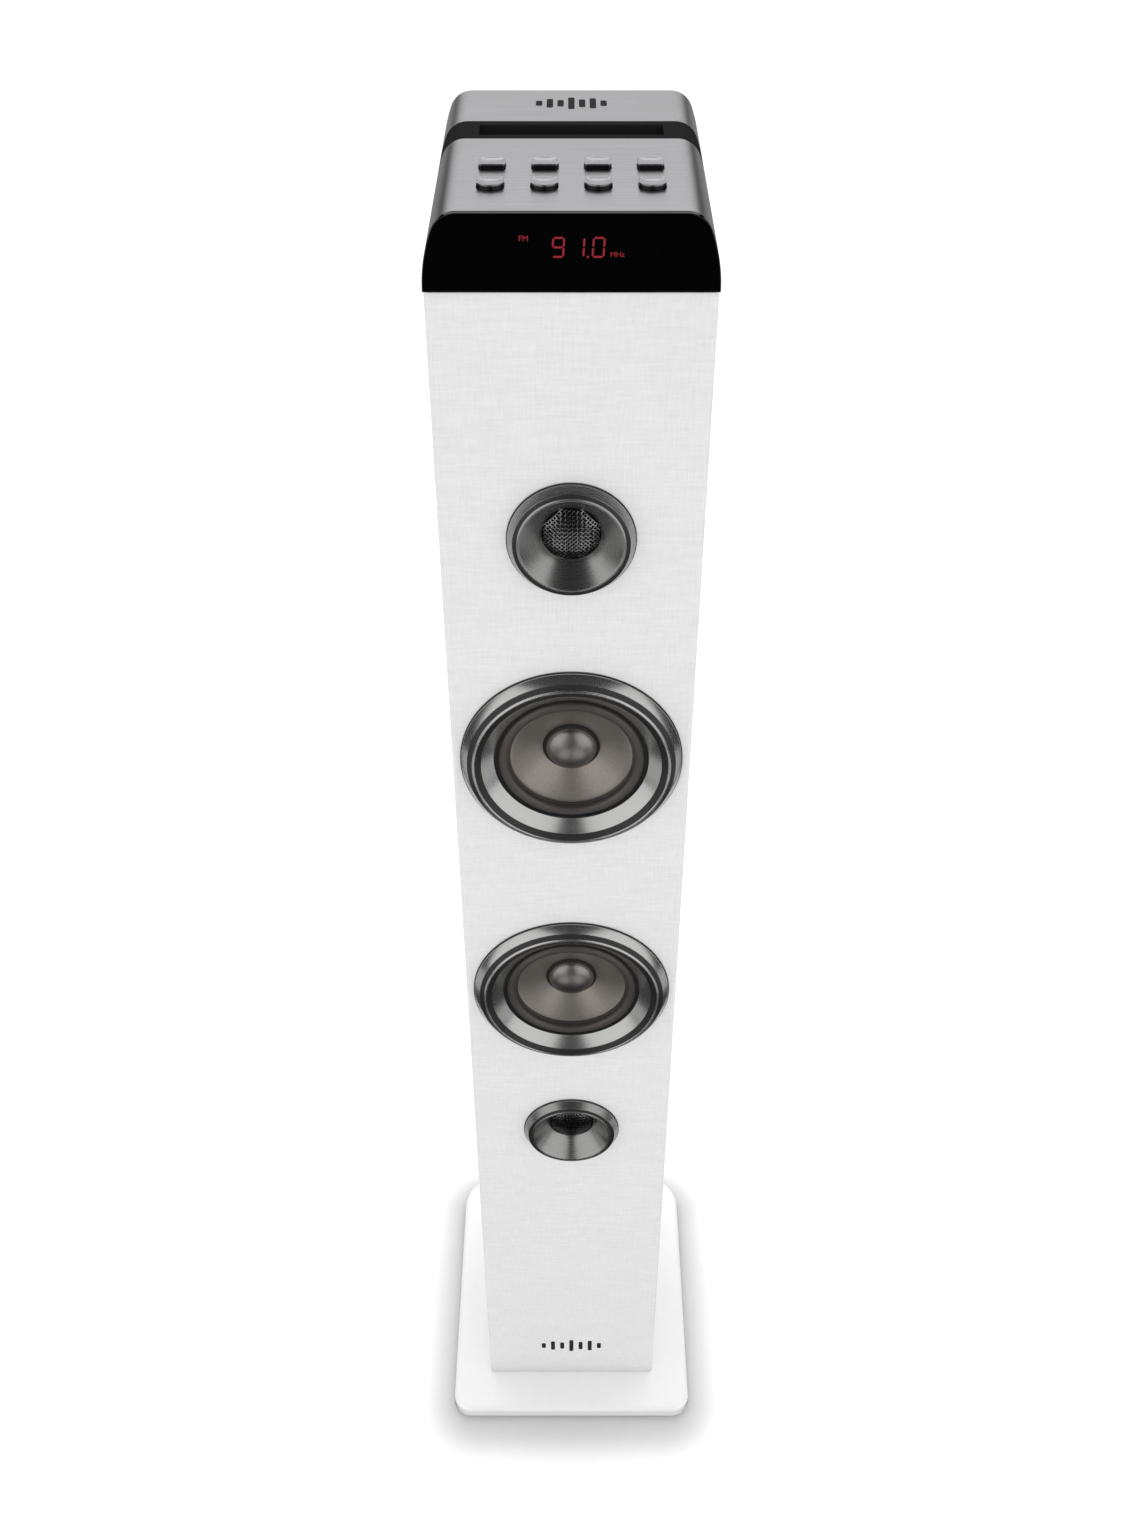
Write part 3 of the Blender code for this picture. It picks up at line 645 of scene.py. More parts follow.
@dataclass(frozen=True)
class Fibred(Turned):
    """Pressed paper pulp: fibres that run mostly outwards from the middle, over faint rings."""

    fibres: float = 90.0  # fibres counted round the cone

    def pattern(self, tree: bpy.types.NodeTree, place: bpy.types.NodeSocket) -> bpy.types.NodeSocket:
        """Noise on the angle and the radius, with even pulp grain over it."""
        x, z = self.centre
        shifted = add_node(
            tree, "ShaderNodeMapping", {"Location": (-x * MM, 0, -z * MM)}, {"Vector": place}
        ).outputs["Vector"]
        parts = add_node(tree, "ShaderNodeSeparateXYZ", links={"Vector": shifted}).outputs
        angle = add_node(
            tree, "ShaderNodeMath", {"operation": "ARCTAN2"}, {0: parts["Z"], 1: parts["X"]}
        ).outputs["Value"]
        spoke = add_node(
            tree, "ShaderNodeMath", {"operation": "MULTIPLY", 1: self.fibres / math.tau}, {0: angle}
        ).outputs["Value"]
        rings = super().pattern(tree, place)
        fibre = add_node(
            tree,
            "ShaderNodeTexNoise",
            {"noise_dimensions": "1D", "Scale": 3.0, "Detail": self.detail},
            {"W": spoke},
        ).outputs["Fac"]
        pulp = add_node(
            tree, "ShaderNodeTexNoise", {"Scale": 1 / (1.3 * MM), "Detail": 4.0}, {"Vector": place}
        ).outputs["Fac"]
        streaks = add_node(tree, "ShaderNodeMix", {0: 0.35}, {2: fibre, 3: rings}).outputs[0]
        return add_node(tree, "ShaderNodeMix", {0: 0.45}, {2: streaks, 3: pulp}).outputs[0]


@dataclass(frozen=True)
class Woven(Finish):
    """Cloth or wire laid in two crossing directions, X and Z; the grain is the thread's pitch."""

    def pattern(self, tree: bpy.types.NodeTree, place: bpy.types.NodeSocket) -> bpy.types.NodeSocket:
        """Two bands of waves, multiplied."""
        waves = [
            add_node(
                tree,
                "ShaderNodeTexWave",
                {"bands_direction": way, "Scale": 0.314 / (self.grain * MM), "Distortion": 0.6},
                {"Vector": place},
            ).outputs["Fac"]
            for way in ("X", "Z")
        ]
        return add_node(
            tree, "ShaderNodeMath", {"operation": "MULTIPLY"}, {0: waves[0], 1: waves[1]}
        ).outputs["Value"]


@dataclass(frozen=True)
class Lit(Finish):
    """A lit display segment behind smoked acrylic."""

    glow: str = "#FF2030"
    strength: float = 1.0

    def make(self) -> bpy.types.Material:
        """Adds an even glow to the finish."""
        made = super().make()
        shader = made.node_tree.nodes["Principled BSDF"]
        shader.inputs["Emission Color"].default_value = linear(self.glow)
        shader.inputs["Emission Strength"].default_value = self.strength
        return made


@dataclass(frozen=True)
class ShootingTable(Finish):
    """White acrylic sheet lit from beneath, with a painted shadow round the base that darkens its colour and
    glow.
    """

    base: tuple[float, float] = (216.0, 256.0)
    corner: float = 26.0
    # The painted shadow: how far it is moved to the front, how far it reaches, and how dark it is at the
    # base.
    painted_shadow_shift: float = 12.0
    painted_shadow_reach: float = 38.0
    painted_shadow_level: float = 0.62
    glow: float = 0.1

    def make(self) -> bpy.types.Material:
        """Adds the glow to the finish, and a painted shadow that dims colour and glow by the distance from
        the base.
        """
        made = super().make()
        tree = made.node_tree
        shader = tree.nodes["Principled BSDF"]
        colour = shader.inputs["Base Color"].links[0].from_socket
        place = add_node(tree, "ShaderNodeTexCoord").outputs["Object"]
        moved = add_node(
            tree, "ShaderNodeMapping", {"Location": (0, self.painted_shadow_shift * MM, 0)}, {"Vector": place}
        ).outputs["Vector"]
        half = [(size / 2 - self.corner) * MM for size in self.base]
        distance = moved
        for operation, other in (("ABSOLUTE", None), ("SUBTRACT", (*half, 0)), ("MAXIMUM", (0, 0, 0))):
            settings = {"operation": operation} | ({1: other} if other else {})
            distance = add_node(tree, "ShaderNodeVectorMath", settings, {0: distance}).outputs["Vector"]
        length = add_node(tree, "ShaderNodeVectorMath", {"operation": "LENGTH"}, {0: distance})
        # Painted shadow: near the base's outline the colour and the glow fall to a share of full.
        bright = add_node(
            tree,
            "ShaderNodeMapRange",
            {
                "interpolation_type": "SMOOTHSTEP",
                "From Min": (self.corner - 4) * MM,
                "From Max": (self.corner + self.painted_shadow_reach) * MM,
                "To Min": self.painted_shadow_level,
                "To Max": 1.0,
            },
            {"Value": length.outputs["Value"]},
        ).outputs["Result"]
        shaded = add_node(
            tree, "ShaderNodeVectorMath", {"operation": "SCALE"}, {0: colour, "Scale": bright}
        ).outputs["Vector"]
        tree.links.new(shaded, shader.inputs["Base Color"])
        tree.links.new(shaded, shader.inputs["Emission Color"])
        shader.inputs["Emission Strength"].default_value = self.glow
        return made


# White PVC foil, embossed as linen and wrapped over fibreboard: a soft matt white, cross-grained.
LINEN_VINYL = LinenVinyl(
    "linen_vinyl", "#DCDCDC", "#EAEAEA", 0.55, 0.08, grain=1.3, relief=0.04, patch_share=0.25
)
# Sprayed and polished polyester lacquer: clear reflections with a slight orange peel.
WHITE_LACQUER = Finish(
    "white_lacquer", "#F0F0F0", "#F6F6F6", 0.12, 0.03, coat=0.6, coat_roughness=0.04, grain=7.0, relief=0.004
)
# Sheet and extrusion brushed along X, clear anodised: long fine lines and a stretched shine.
BRUSHED_ALUMINIUM = Finish(
    "brushed_aluminium",
    "#8E8E90",
    "#CFCFD1",
    0.34,
    0.08,
    metallic=1.0,
    grain=0.6,
    relief=0.008,
    stretch=(0.012, 1.0, 1.0),
    detail=4.0,
    patch_share=0.12,
)
# The same metal pressed into button caps: smoother, so that the dish shows.
SATIN_ALUMINIUM = Finish(
    "satin_aluminium",
    "#97979A",
    "#C4C4C7",
    0.26,
    0.05,
    metallic=1.0,
    grain=0.4,
    relief=0.003,
    stretch=(0.05, 1.0, 1.0),
)
# Tinted cast acrylic, polished: nearly black, with sharp reflections.
SMOKED_ACRYLIC = Finish(
    "smoked_acrylic", "#030303", "#060606", 0.06, 0.02, ior=1.49, grain=9.0, relief=0.0008
)
# Spark-eroded black ABS: a fine even grain that takes nearly all of its shine away.
MOULDED_ABS = Finish("moulded_abs", "#161616", "#222222", 0.75, 0.06, ior=1.16, grain=0.5, relief=0.02)
# Black ABS from a polished mould, on the sides of the buttons: dark with a clear soft shine.
GLOSS_ABS = Finish("gloss_abs", "#0B0B0B", "#141414", 0.22, 0.04, grain=0.9, relief=0.002)
# Graphite-filled butyl rubber, moulded thin: dark with a soft, faintly metallic lustre.
BUTYL_RUBBER = Finish(
    "butyl_rubber", "#45423F", "#625E5A", 0.4, 0.07, metallic=0.6, grain=0.8, relief=0.015, patch=12.0
)
# Black contact adhesive, laid in a bead round the cap; the same dull black makes the ring of painted shade in
# the gap under the trim ring: a dull, uneven black.
GLUE_AND_PAINTED_SHADE = Finish("glue_bead", "#0C0C0C", "#181818", 0.6, 0.1, grain=1.6, relief=0.05)
# Moulded nitrile rubber, in the feet and the slot's lining; the same matt black makes the rings of painted
# shade round the drivers: a matt, dusty black.
FOOT_RUBBER_AND_PAINTED_SHADE = Finish("foot_rubber", "#0E0E0E", "#1A1918", 0.8, 0.06, ior=1.2, grain=0.9, relief=0.04)
# Formed cap, vacuum-metallised under smoke lacquer: dark, with soft bright reflections.
METALLISED_CAP = Finish(
    "metallised_cap", "#8C8A89", "#A8A6A4", 0.35, 0.03, metallic=1.0, grain=2.2, relief=0.004
)
# Blackened steel wire cloth, rolled flat: a dark lattice whose crossings glint.
BLACK_WIRE = Finish("black_wire", "#4A4A4A", "#B0B0B0", 0.18, 0.05, metallic=1.0, grain=0.9, relief=0.004)
# Silk-screened ink on the vinyl and on the shell: a flat, dry black.
SCREEN_INK = Finish("screen_ink", "#1E1E1F", "#313132", 0.7, 0.05, ior=1.2, grain=0.5, relief=0.004)
# Diffused red segments of a lit display, dimmed by the smoked window: a dull, even red glow.
LIT_SEGMENT = Lit(
    "lit_segment", "#2A0208", "#5A0C18", 0.4, 0.05, grain=1.2, relief=0.002, glow="#DC1430", strength=0.3
)
# Cold-forged steel screws, zinc-plated: a greyish, slightly yellow shine.
ZINC_STEEL = Finish("zinc_steel", "#8F8F89", "#B5B5AD", 0.32, 0.08, metallic=1.0, grain=0.6, relief=0.004)
# Cold-forged steel screws, black oxide: near black, with a hard small highlight.
BLACK_STEEL = Finish("black_steel", "#1C1C1C", "#303030", 0.35, 0.06, metallic=1.0, grain=0.5, relief=0.004)
# Turned brass barrels and pins, nickel-plated: a warm silver with sharp reflections.
NICKEL = Finish("nickel", "#A8A59C", "#CFCBC0", 0.22, 0.05, metallic=1.0, grain=0.5, relief=0.002)
# Moulded nylon insulators of the audio sockets, and the rocker's print: plain, half-gloss colours.
RED_NYLON = Finish("red_nylon", "#A31616", "#BE2A22", 0.35, 0.05, grain=0.6, relief=0.004)
WHITE_NYLON = Finish("white_nylon", "#DADAD6", "#ECECE8", 0.35, 0.05, grain=0.6, relief=0.004)
WHITE_PRINT = Finish("white_print", "#C9C9C9", "#E0E0E0", 0.5, 0.05, grain=0.5, relief=0.002)

# Back-lit white acrylic sheet under the whole scene: white without a horizon, with a painted shadow round the
# base.
SHOOTING_TABLE = ShootingTable("shooting_table", "#F8F8F8", "#FBFBFB", 0.9, 0.02, grain=4.0, relief=0.0)

# Pressed wood fibre, sawn: a matt brown fleck.
FIBREBOARD = Finish("fibreboard", "#7C5C3C", "#A17C55", 0.85, 0.05, grain=1.1, relief=0.05, detail=6.0)
# Deep-drawn steel sheet, powder-coated: black with a fine orange peel.
PAINTED_STEEL = Finish("painted_steel", "#161616", "#262626", 0.5, 0.08, metallic=0.3, grain=0.7, relief=0.02)
# Sintered and ground ferrite: a dull, slightly blue dark grey.
FERRITE = Finish("ferrite", "#232326", "#3B3B3F", 0.7, 0.08, grain=0.7, relief=0.03, detail=5.0)
# Enamelled copper wire, wound on its former: close shining turns.
COPPER_WIRE = Finish(
    "copper_wire",
    "#8E4A22",
    "#D58A4E",
    0.32,
    0.06,
    metallic=1.0,
    grain=0.35,
    relief=0.03,
    stretch=(0.05, 1.0, 0.05),
)
# Resin-dipped cotton, pressed into waves: a dry, golden weave.
SPIDER_CLOTH = Woven("spider_cloth", "#8C6A2E", "#B9924C", 0.9, 0.03, sheen=0.2, grain=0.9, relief=0.08)
# Silk with a damping coat, formed warm: a dark weave with a slight shine.
SILK = Woven("coated_silk", "#17171A", "#2B2B30", 0.45, 0.08, sheen=0.2, grain=0.5, relief=0.02)
# Glass-epoxy laminate under solder mask: a glossy, uneven green.
CIRCUIT_BOARD = Finish("circuit_board", "#0F3D1E", "#1F6B35", 0.4, 0.1, coat=0.3, grain=2.4, relief=0.02)
# Red-dyed cast epoxy over the display's segments: dark with a clear shine.
DISPLAY_GLASS = Finish("display_glass", "#1E0406", "#3A070C", 0.2, 0.05, grain=2.0, relief=0.004)

# Finishes of the CAD nodes that stay as they are, by a word in the node's name.
CAD_FINISHES = {
    "control_board": CIRCUIT_BOARD,
    "amplifier_board": CIRCUIT_BOARD,
    "board": FIBREBOARD,
    "brace": FIBREBOARD,
    "basket": PAINTED_STEEL,
    "spider": SPIDER_CLOTH,
    "voice_coil": COPPER_WIRE,
    "magnet": FERRITE,
    "dome": SILK,
    "display_module": DISPLAY_GLASS,
    "transformer": PAINTED_STEEL,
}


def settle(
    piece: bpy.types.Object,
    finish: Finish,
    replaces: Sequence[str] = (),
    body: str | None = ROOT_BODY,
) -> bpy.types.Object:
    """Dresses a finished piece and ties it to the frame.

    Args:
        piece: The finished piece.
        finish: What it is made of.
        replaces: CAD nodes that it stands for.
        body: The body that it moves with, or None to tie it to no body.

    Returns:
        The same piece.
    """
    piece.data.materials.clear()
    piece.data.materials.append(finish.material())
    if body:
        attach(piece, body)
    if replaces:
        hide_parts(*replaces)
    faces = len(piece.data.polygons)
    LOG.info("%s: %d faces, %s, on %s", piece.name, faces, finish.title, body or "two bodies")
    return piece


# ---------------------------------------------------------------------------------------------------
# Base and cabinet


@dataclass
class BasePlate:
    """The lacquered base plate with its rubber feet and socket screws."""

    front_radius: float = 16.0
    rear_radius: float = 36.0
    top_rounding: float = 4.0
    bottom_rounding: float = 0.6
    foot_radius: float = 11.0
    foot_height: float = 4.0
    foot_recess: float = 1.3
    screw_head_radius: float = 5.5
    screw_head_height: float = 5.2
    screw_radius: float = 3.0
    screw_length: float = 18.0
    key_radius: float = 2.9
    counterbore_radius: float = 6.0
    counterbore_depth: float = 7.0
    clearance: float = 0.3

    def build(self) -> None:
        """Models the plate, the feet and the screws."""
        feet = [middle(f"foot_{i}") for i in range(1, 5)]
        screws = [middle(f"base_screw_{i}") for i in range(1, 5)]
        low, high = span("base_plate")
        self.plate(low, high, feet, screws)
        self.feet(feet)
        self.screws(screws, low.z)

    def plate(self, low: Vector, high: Vector, feet: list[Vector], screws: list[Vector]) -> None:
        """The plate: an extruded outline with a rounded top edge and recesses beneath.

        Args:
            low: Lowest corner of the plate.
            high: Highest corner.
            feet: Middles of the feet.
            screws: Middles of the screws.
        """
        radii = (self.front_radius, self.rear_radius, self.rear_radius, self.front_radius)
        outline = rounded_box_outline(high.x - low.x, high.y - low.y, radii, 12)
        plate = prism("base_plate_lacquered", outline, low.z, high.z, Axis.Z)
        for top, rounding, segments in ((True, self.top_rounding, 6), (False, self.bottom_rounding, 2)):
            with editing(plate):
                height = high.z if top else low.z
                pick(plate, Element.EDGE, lambda at, way, h=height: abs(at.z - h) < 0.01)
                bpy.ops.mesh.bevel(offset=rounding * MM, segments=segments, profile=0.5)
        for foot in feet:
            recess = turn(
                "recess",
                [(0, -9), (self.foot_radius + 0.3, -9), (self.foot_radius + 0.3, 0), (0, 0)],
                Vector((foot.x, foot.y, low.z + self.foot_recess)),
                Axis.Z,
                edge=0,
                steps=48,
            )
            carve(plate, recess)
        for screw in screws:
            bore = turn(
                "bore",
                [(0, -9), (self.counterbore_radius, -9), (self.counterbore_radius, 0), (0, 0)],
                Vector((screw.x, screw.y, low.z + self.counterbore_depth)),
                Axis.Z,
                edge=0,
                steps=48,
            )
            carve(plate, bore)
        smooth(plate)
        settle(plate, WHITE_LACQUER, ["base_plate"])

    def feet(self, places: list[Vector]) -> None:
        """Turned rubber feet with a chamfer and two grip rings underneath.

        Args:
            places: Middles of the feet.
        """
        radius, height = self.foot_radius, self.foot_height
        profile = [
            (0, 0.6),
            (3.0, 0.6),
            (3.4, 0),
            (5.4, 0),
            (5.8, 0.6),
            (7.4, 0.6),
            (7.8, 0),
            (radius - 0.8, 0),
            (radius, 0.8),
            (radius, height - 0.3),
            (radius - 0.3, height),
            (0, height),
        ]
        floor = span("foot_1")[0].z
        first = turn("rubber_foot_1", profile, Vector((places[0].x, places[0].y, floor)), Axis.Z, 0.12, 64)
        made = [first]
        for i, place in enumerate(places[1:], start=2):
            offset = (place.x - places[0].x, place.y - places[0].y, 0)
            made.append(copy_of(first, f"rubber_foot_{i}", offset))
        for i, foot in enumerate(made, start=1):
            settle(foot, FOOT_RUBBER_AND_PAINTED_SHADE, [f"foot_{i}"])

    def screws(self, places: list[Vector], underside: float) -> None:
        """Socket-head screws with a hexagonal recess for the key.

        Args:
            places: Middles of the screws.
            underside: Height of the plate's underside.
        """
        head_top = underside + self.counterbore_depth - self.clearance
        head_bottom = head_top - self.screw_head_height
        place = Vector((places[0].x, places[0].y, 0))
        profile = [
            (0, head_bottom),
            (self.screw_head_radius, head_bottom),
            (self.screw_head_radius, head_top),
            (self.screw_radius, head_top),
            (self.screw_radius, head_top + self.screw_length),
            (0, head_top + self.screw_length),
        ]
        first = turn("socket_screw_1", profile, place, Axis.Z, 0.3, 48)
        hexagon = [(place.x + u, place.y + v) for u, v in arc((0, 0), self.key_radius, 0, 300, 5)]
        carve(first, prism("key", hexagon, head_bottom - 1, head_bottom + 2.6, Axis.Z))
        smooth(first)
        made = [first]
        for i, other in enumerate(places[1:], start=2):
            offset = (other.x - place.x, other.y - place.y, 0)
            made.append(copy_of(first, f"socket_screw_{i}", offset))
        for i, screw in enumerate(made, start=1):
            settle(screw, ZINC_STEEL, [f"base_screw_{i}"])


@dataclass
class Cabinet:
    """The column's wrapped panels. Its openings are (rebate radius, rebate depth, hole radius)."""

    front_rounding: float = 2.5
    seam: float = 0.05
    woofer_opening: tuple[float, float, float] = (58.4, 5.0, 50.8)
    tweeter_opening: tuple[float, float, float] = (31.4, 3.0, 26.5)
    panel_rebate: float = 2.7
    panel_clearance: float = 0.3
    panel_ledge: float = 9.0

    def build(self) -> None:
        """Models the front, back and side panels."""
        self.baffle()
        self.back()
        self.sides()

    def baffle(self) -> None:
        """The front panel, with its long edges rounded and a stepped opening for each driver."""
        low, high = span("front_baffle")
        radius = self.front_rounding
        outline = rounded_box_outline(high.x - low.x, high.y - low.y, (radius, 0, 0, radius), 6)
        plan = [(x, y + (low.y + high.y) / 2) for x, y in outline]
        panel = prism("front_baffle_wrapped", plan, low.z, high.z, Axis.Z)
        openings = [(f"woofer_{level.value}_trim_ring", self.woofer_opening) for level in Level]
        openings += [(f"tweeter_{level.value}_horn", self.tweeter_opening) for level in Level]
        past = 8.0
        for node, (rebate_radius, rebate_depth, hole_radius) in openings:
            profile = [
                (0, -past),
                (rebate_radius, -past),
                (rebate_radius, rebate_depth),
                (hole_radius, rebate_depth),
                (hole_radius, high.y - low.y + past),
                (0, high.y - low.y + past),
            ]
            carve(panel, turn("opening", profile, Vector((0, low.y, middle(node).z)), edge=0))
        smooth(panel, 0.3, 2, 40)
        settle(panel, LINEN_VINYL, ["front_baffle"])

    def back(self) -> None:
        """The back panel, with the rear panel's rebate and opening."""
        low, high = span("back_panel")
        radius = self.front_rounding
        outline = rounded_box_outline(high.x - low.x, high.y - low.y, (0, radius, radius, 0), 6)
        plan = [(x, y + (low.y + high.y) / 2) for x, y in outline]
        panel = prism("back_panel_wrapped", plan, low.z, high.z, Axis.Z)
        plate_low, plate_high = span("rear_panel")
        grow, past = self.panel_clearance, 5.0
        for inset, front in ((-grow, high.y - self.panel_rebate), (self.panel_ledge - grow, low.y - past)):
            tool = slab(
                "opening",
                (plate_low.x + inset, front, plate_low.z + inset),
                (plate_high.x - inset, high.y + past, plate_high.z - inset),
            )
            carve(panel, tool)
        smooth(panel, 0.3, 2, 40)
        settle(panel, LINEN_VINYL, ["back_panel"])

    def sides(self) -> None:
        """The side panels, which meet the front and the back in a fine seam."""
        front = span("front_baffle")[1].y + self.seam
        back = span("back_panel")[0].y - self.seam
        for side in ("left", "right"):
            low, high = span(f"{side}_side_panel")
            panel = slab(f"{side}_side_panel_wrapped", (low.x, front, low.z), (high.x, back, high.z))
            smooth(panel, 0.25, 2)
            settle(panel, LINEN_VINYL, [f"{side}_side_panel"])


# ---------------------------------------------------------------------------------------------------
# Drivers


@dataclass
class Driver:
    """What both kinds of driver share: a place on the baffle that profiles are measured from."""

    level: Level
    kind: str = ""
    anchor: str = ""

    def name(self, part: str) -> str:
        """Name of one of the driver's parts."""
        return f"{self.kind}_{self.level.value}_{part}"

    def place(self) -> Vector:
        """The driver's centre on the baffle's face."""
        return Vector((0, span("front_baffle")[0].y, middle(self.name(self.anchor)).z))

    def turned(self, part: str, profile: Profile, edge: float = FINE_EDGE) -> bpy.types.Object:
        """Turns one of the driver's parts from a profile of radius and depth behind the baffle."""
        return turn(self.name(part), profile, self.place(), edge=edge)

    def metal(
        self, title: str, colour: str, second: str, roughness: float, metallic: float = 0.94
    ) -> Turned:
        """Turned and anodised aluminium, its rings centred on this driver; also the dark bands of painted
        reflection on the rings.

        Args:
            title: The finish's name.
            colour: Its darker colour.
            second: Its lighter colour.
            roughness: How soft its reflections are.
            metallic: How much of it shines as bare metal does.

        Returns:
            The finish.
        """
        return Turned(
            f"{title}_{self.kind}_{self.level.value}",
            colour,
            second,
            roughness,
            0.06,
            metallic=metallic,
            grain=0.45,
            relief=0.004,
            patch_share=0.1,
            centre=(0.0, self.place().z),
        )

    def gasket(self, radius: float) -> None:
        """A thin black ring round the driver's ring: painted shade of the gap at its edge, which shows as a
        line.

        Args:
            radius: Radius of the ring.
        """
        # Painted shade: a black ring where the gap at the ring's edge lies in shade.
        profile = [(radius - 3, -0.02), (radius, -0.02), (radius, -0.9), (radius - 3, -0.9)]
        settle(self.turned("gasket", profile, 0.1), FOOT_RUBBER_AND_PAINTED_SHADE)


@dataclass
class Woofer(Driver):
    """A woofer: trim ring, rubber surround, paper cone and dust cap."""

    kind: str = "woofer"
    anchor: str = "trim_ring"
    roll_centre: tuple[float, float] = (43.0, 1.2)
    roll_radius: float = 3.4
    rubber: float = 0.9
    cone_edge: tuple[float, float] = (39.9, 3.7)
    cone_neck: tuple[float, float] = (13.0, 16.5)
    cone_wall: float = 0.9
    cap_radius: float = 16.4
    cap_rim: float = 13.2
    cap_rise: float = 8.0
    cap_wall: float = 0.8
    trim: Profile = (
        (69.4, -1.0),
        (69.4, -1.7),
        (65.6, -6.8),
        (62.3, -9.2),
        (61.9, -9.8),
        (61.2, -10.0),
        (60.7, -9.7),
        (56.5, -7.3),
        (48.7, -0.9),
        (48.7, 0.8),
        (57.0, 0.8),
        (57.0, -1.0),
    )

    def build(self) -> None:
        """Models the pieces that show."""
        self.gasket(70.0)
        self.trim_ring()
        self.surround()
        self.cone()
        self.dust_cap()

    def trim_ring(self) -> None:
        """The turned ring: an outer bevel, two dark bands with a ridge between, and the inner lip; the dark
        bands are painted dark reflection.
        """
        ring = self.turned("trim_ring_turned", self.trim)
        finish = self.metal("turned_aluminium", "#ADADAC", "#D4D4D3", 0.23)
        settle(ring, finish, [self.name("trim_ring")])
        # Painted reflection: thin dark bands laid over the ring's faces where they mirror something dark.
        groove = [(65.5, -7.0), (62.5, -9.2), (62.3, -8.9), (65.5, -6.5)]
        inner_groove = [(60.55, -9.75), (56.65, -7.55), (56.75, -7.1), (60.55, -9.3)]
        bands = [turn("band", profile, self.place(), edge=0.1) for profile in (groove, inner_groove)]
        band = joined(bands, self.name("trim_bands"))
        dark = self.metal("dark_anodised", "#1E1E1E", "#323232", 0.36, 0.3)
        settle(band, dark)

    def surround(self) -> None:
        """The rubber half-roll, from its outer flange to the flange that is glued to the cone, and a black
        ring of painted shade in the gap in front of it.
        """
        radius, depth = self.roll_centre
        outer = arc((radius, depth), self.roll_radius, 0, -180, 16)
        inner = arc((radius, depth), self.roll_radius - self.rubber, -180, 0, 16)
        profile = [(50.0, depth), *outer, (39.6, 2.5), (38.5, 2.5), (38.5, 3.4), (40.5, 3.4)]
        profile += [*inner, (45.5, 2.2), (50.0, 2.2)]
        roll = self.turned("surround_roll", profile, 0.15)
        settle(roll, BUTYL_RUBBER, [self.name("surround")], body=None)
        place = self.place()
        self.name("cone_body")
        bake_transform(roll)
        # Painted shade: a flat black ring in the gap between the trim's lip and the roll.
        flange = [(49.6, 1.15), (46.6, 1.15), (46.6, 0.95), (49.6, 0.95)]
        settle(self.turned("surround_gasket", flange, 0.05), GLUE_AND_PAINTED_SHADE)

    def cone(self) -> None:
        """The pressed paper cone: a slightly flared wall with a flat rim."""
        (edge, rim_depth), (neck, neck_depth) = self.cone_edge, self.cone_neck
        flare, steps, rim = 1.12, 14, 1.2
        front = []
        for i in range(steps + 1):
            share = i / steps
            radius = edge - rim - (edge - rim - neck) * share
            front.append((radius, rim_depth + (neck_depth - rim_depth) * share**flare))
        wall = self.cone_wall
        profile = [(edge, rim_depth + wall), (edge, rim_depth), *front]
        profile += [(radius, depth + wall) for radius, depth in reversed(front)]
        cone = self.turned("cone_paper", profile, 0.1)
        paper = Fibred(
            f"pressed_paper_{self.level.value}",
            "#6F6964",
            "#BBB4AC",
            0.36,
            0.06,
            metallic=0.8,
            grain=0.9,
            relief=0.05,
            patch=25.0,
            centre=(0.0, self.place().z),
        )
        settle(cone, paper, [self.name("cone")], self.name("cone_body"))

    def dust_cap(self) -> None:
        """The domed cap with its glued rim."""
        steps = 14
        outer = []
        for i in range(steps + 1):
            angle = math.radians(90 * i / steps)
            outer.append((self.cap_radius * math.sin(angle), self.cap_rim - self.cap_rise * math.cos(angle)))
        inner = [(r * (1 - self.cap_wall / self.cap_radius), d + self.cap_wall * 0.6) for r, d in outer[::-1]]
        cap = self.turned("dust_cap_lacquered", [*outer, *inner], 0)
        settle(cap, METALLISED_CAP, [self.name("dust_cap")], self.name("cone_body"))
        bead = [
            (self.cap_radius + 1.8, self.cap_rim + 0.4),
            (self.cap_radius + 1.0, self.cap_rim - 0.7),
            (self.cap_radius - 0.2, self.cap_rim - 1.5),
            (self.cap_radius - 0.8, self.cap_rim - 0.6),
            (self.cap_radius - 0.2, self.cap_rim + 1.3),
        ]
        body = self.name("cone_body")
        settle(self.turned("cap_bead", bead, 0.1), GLUE_AND_PAINTED_SHADE, body=body)


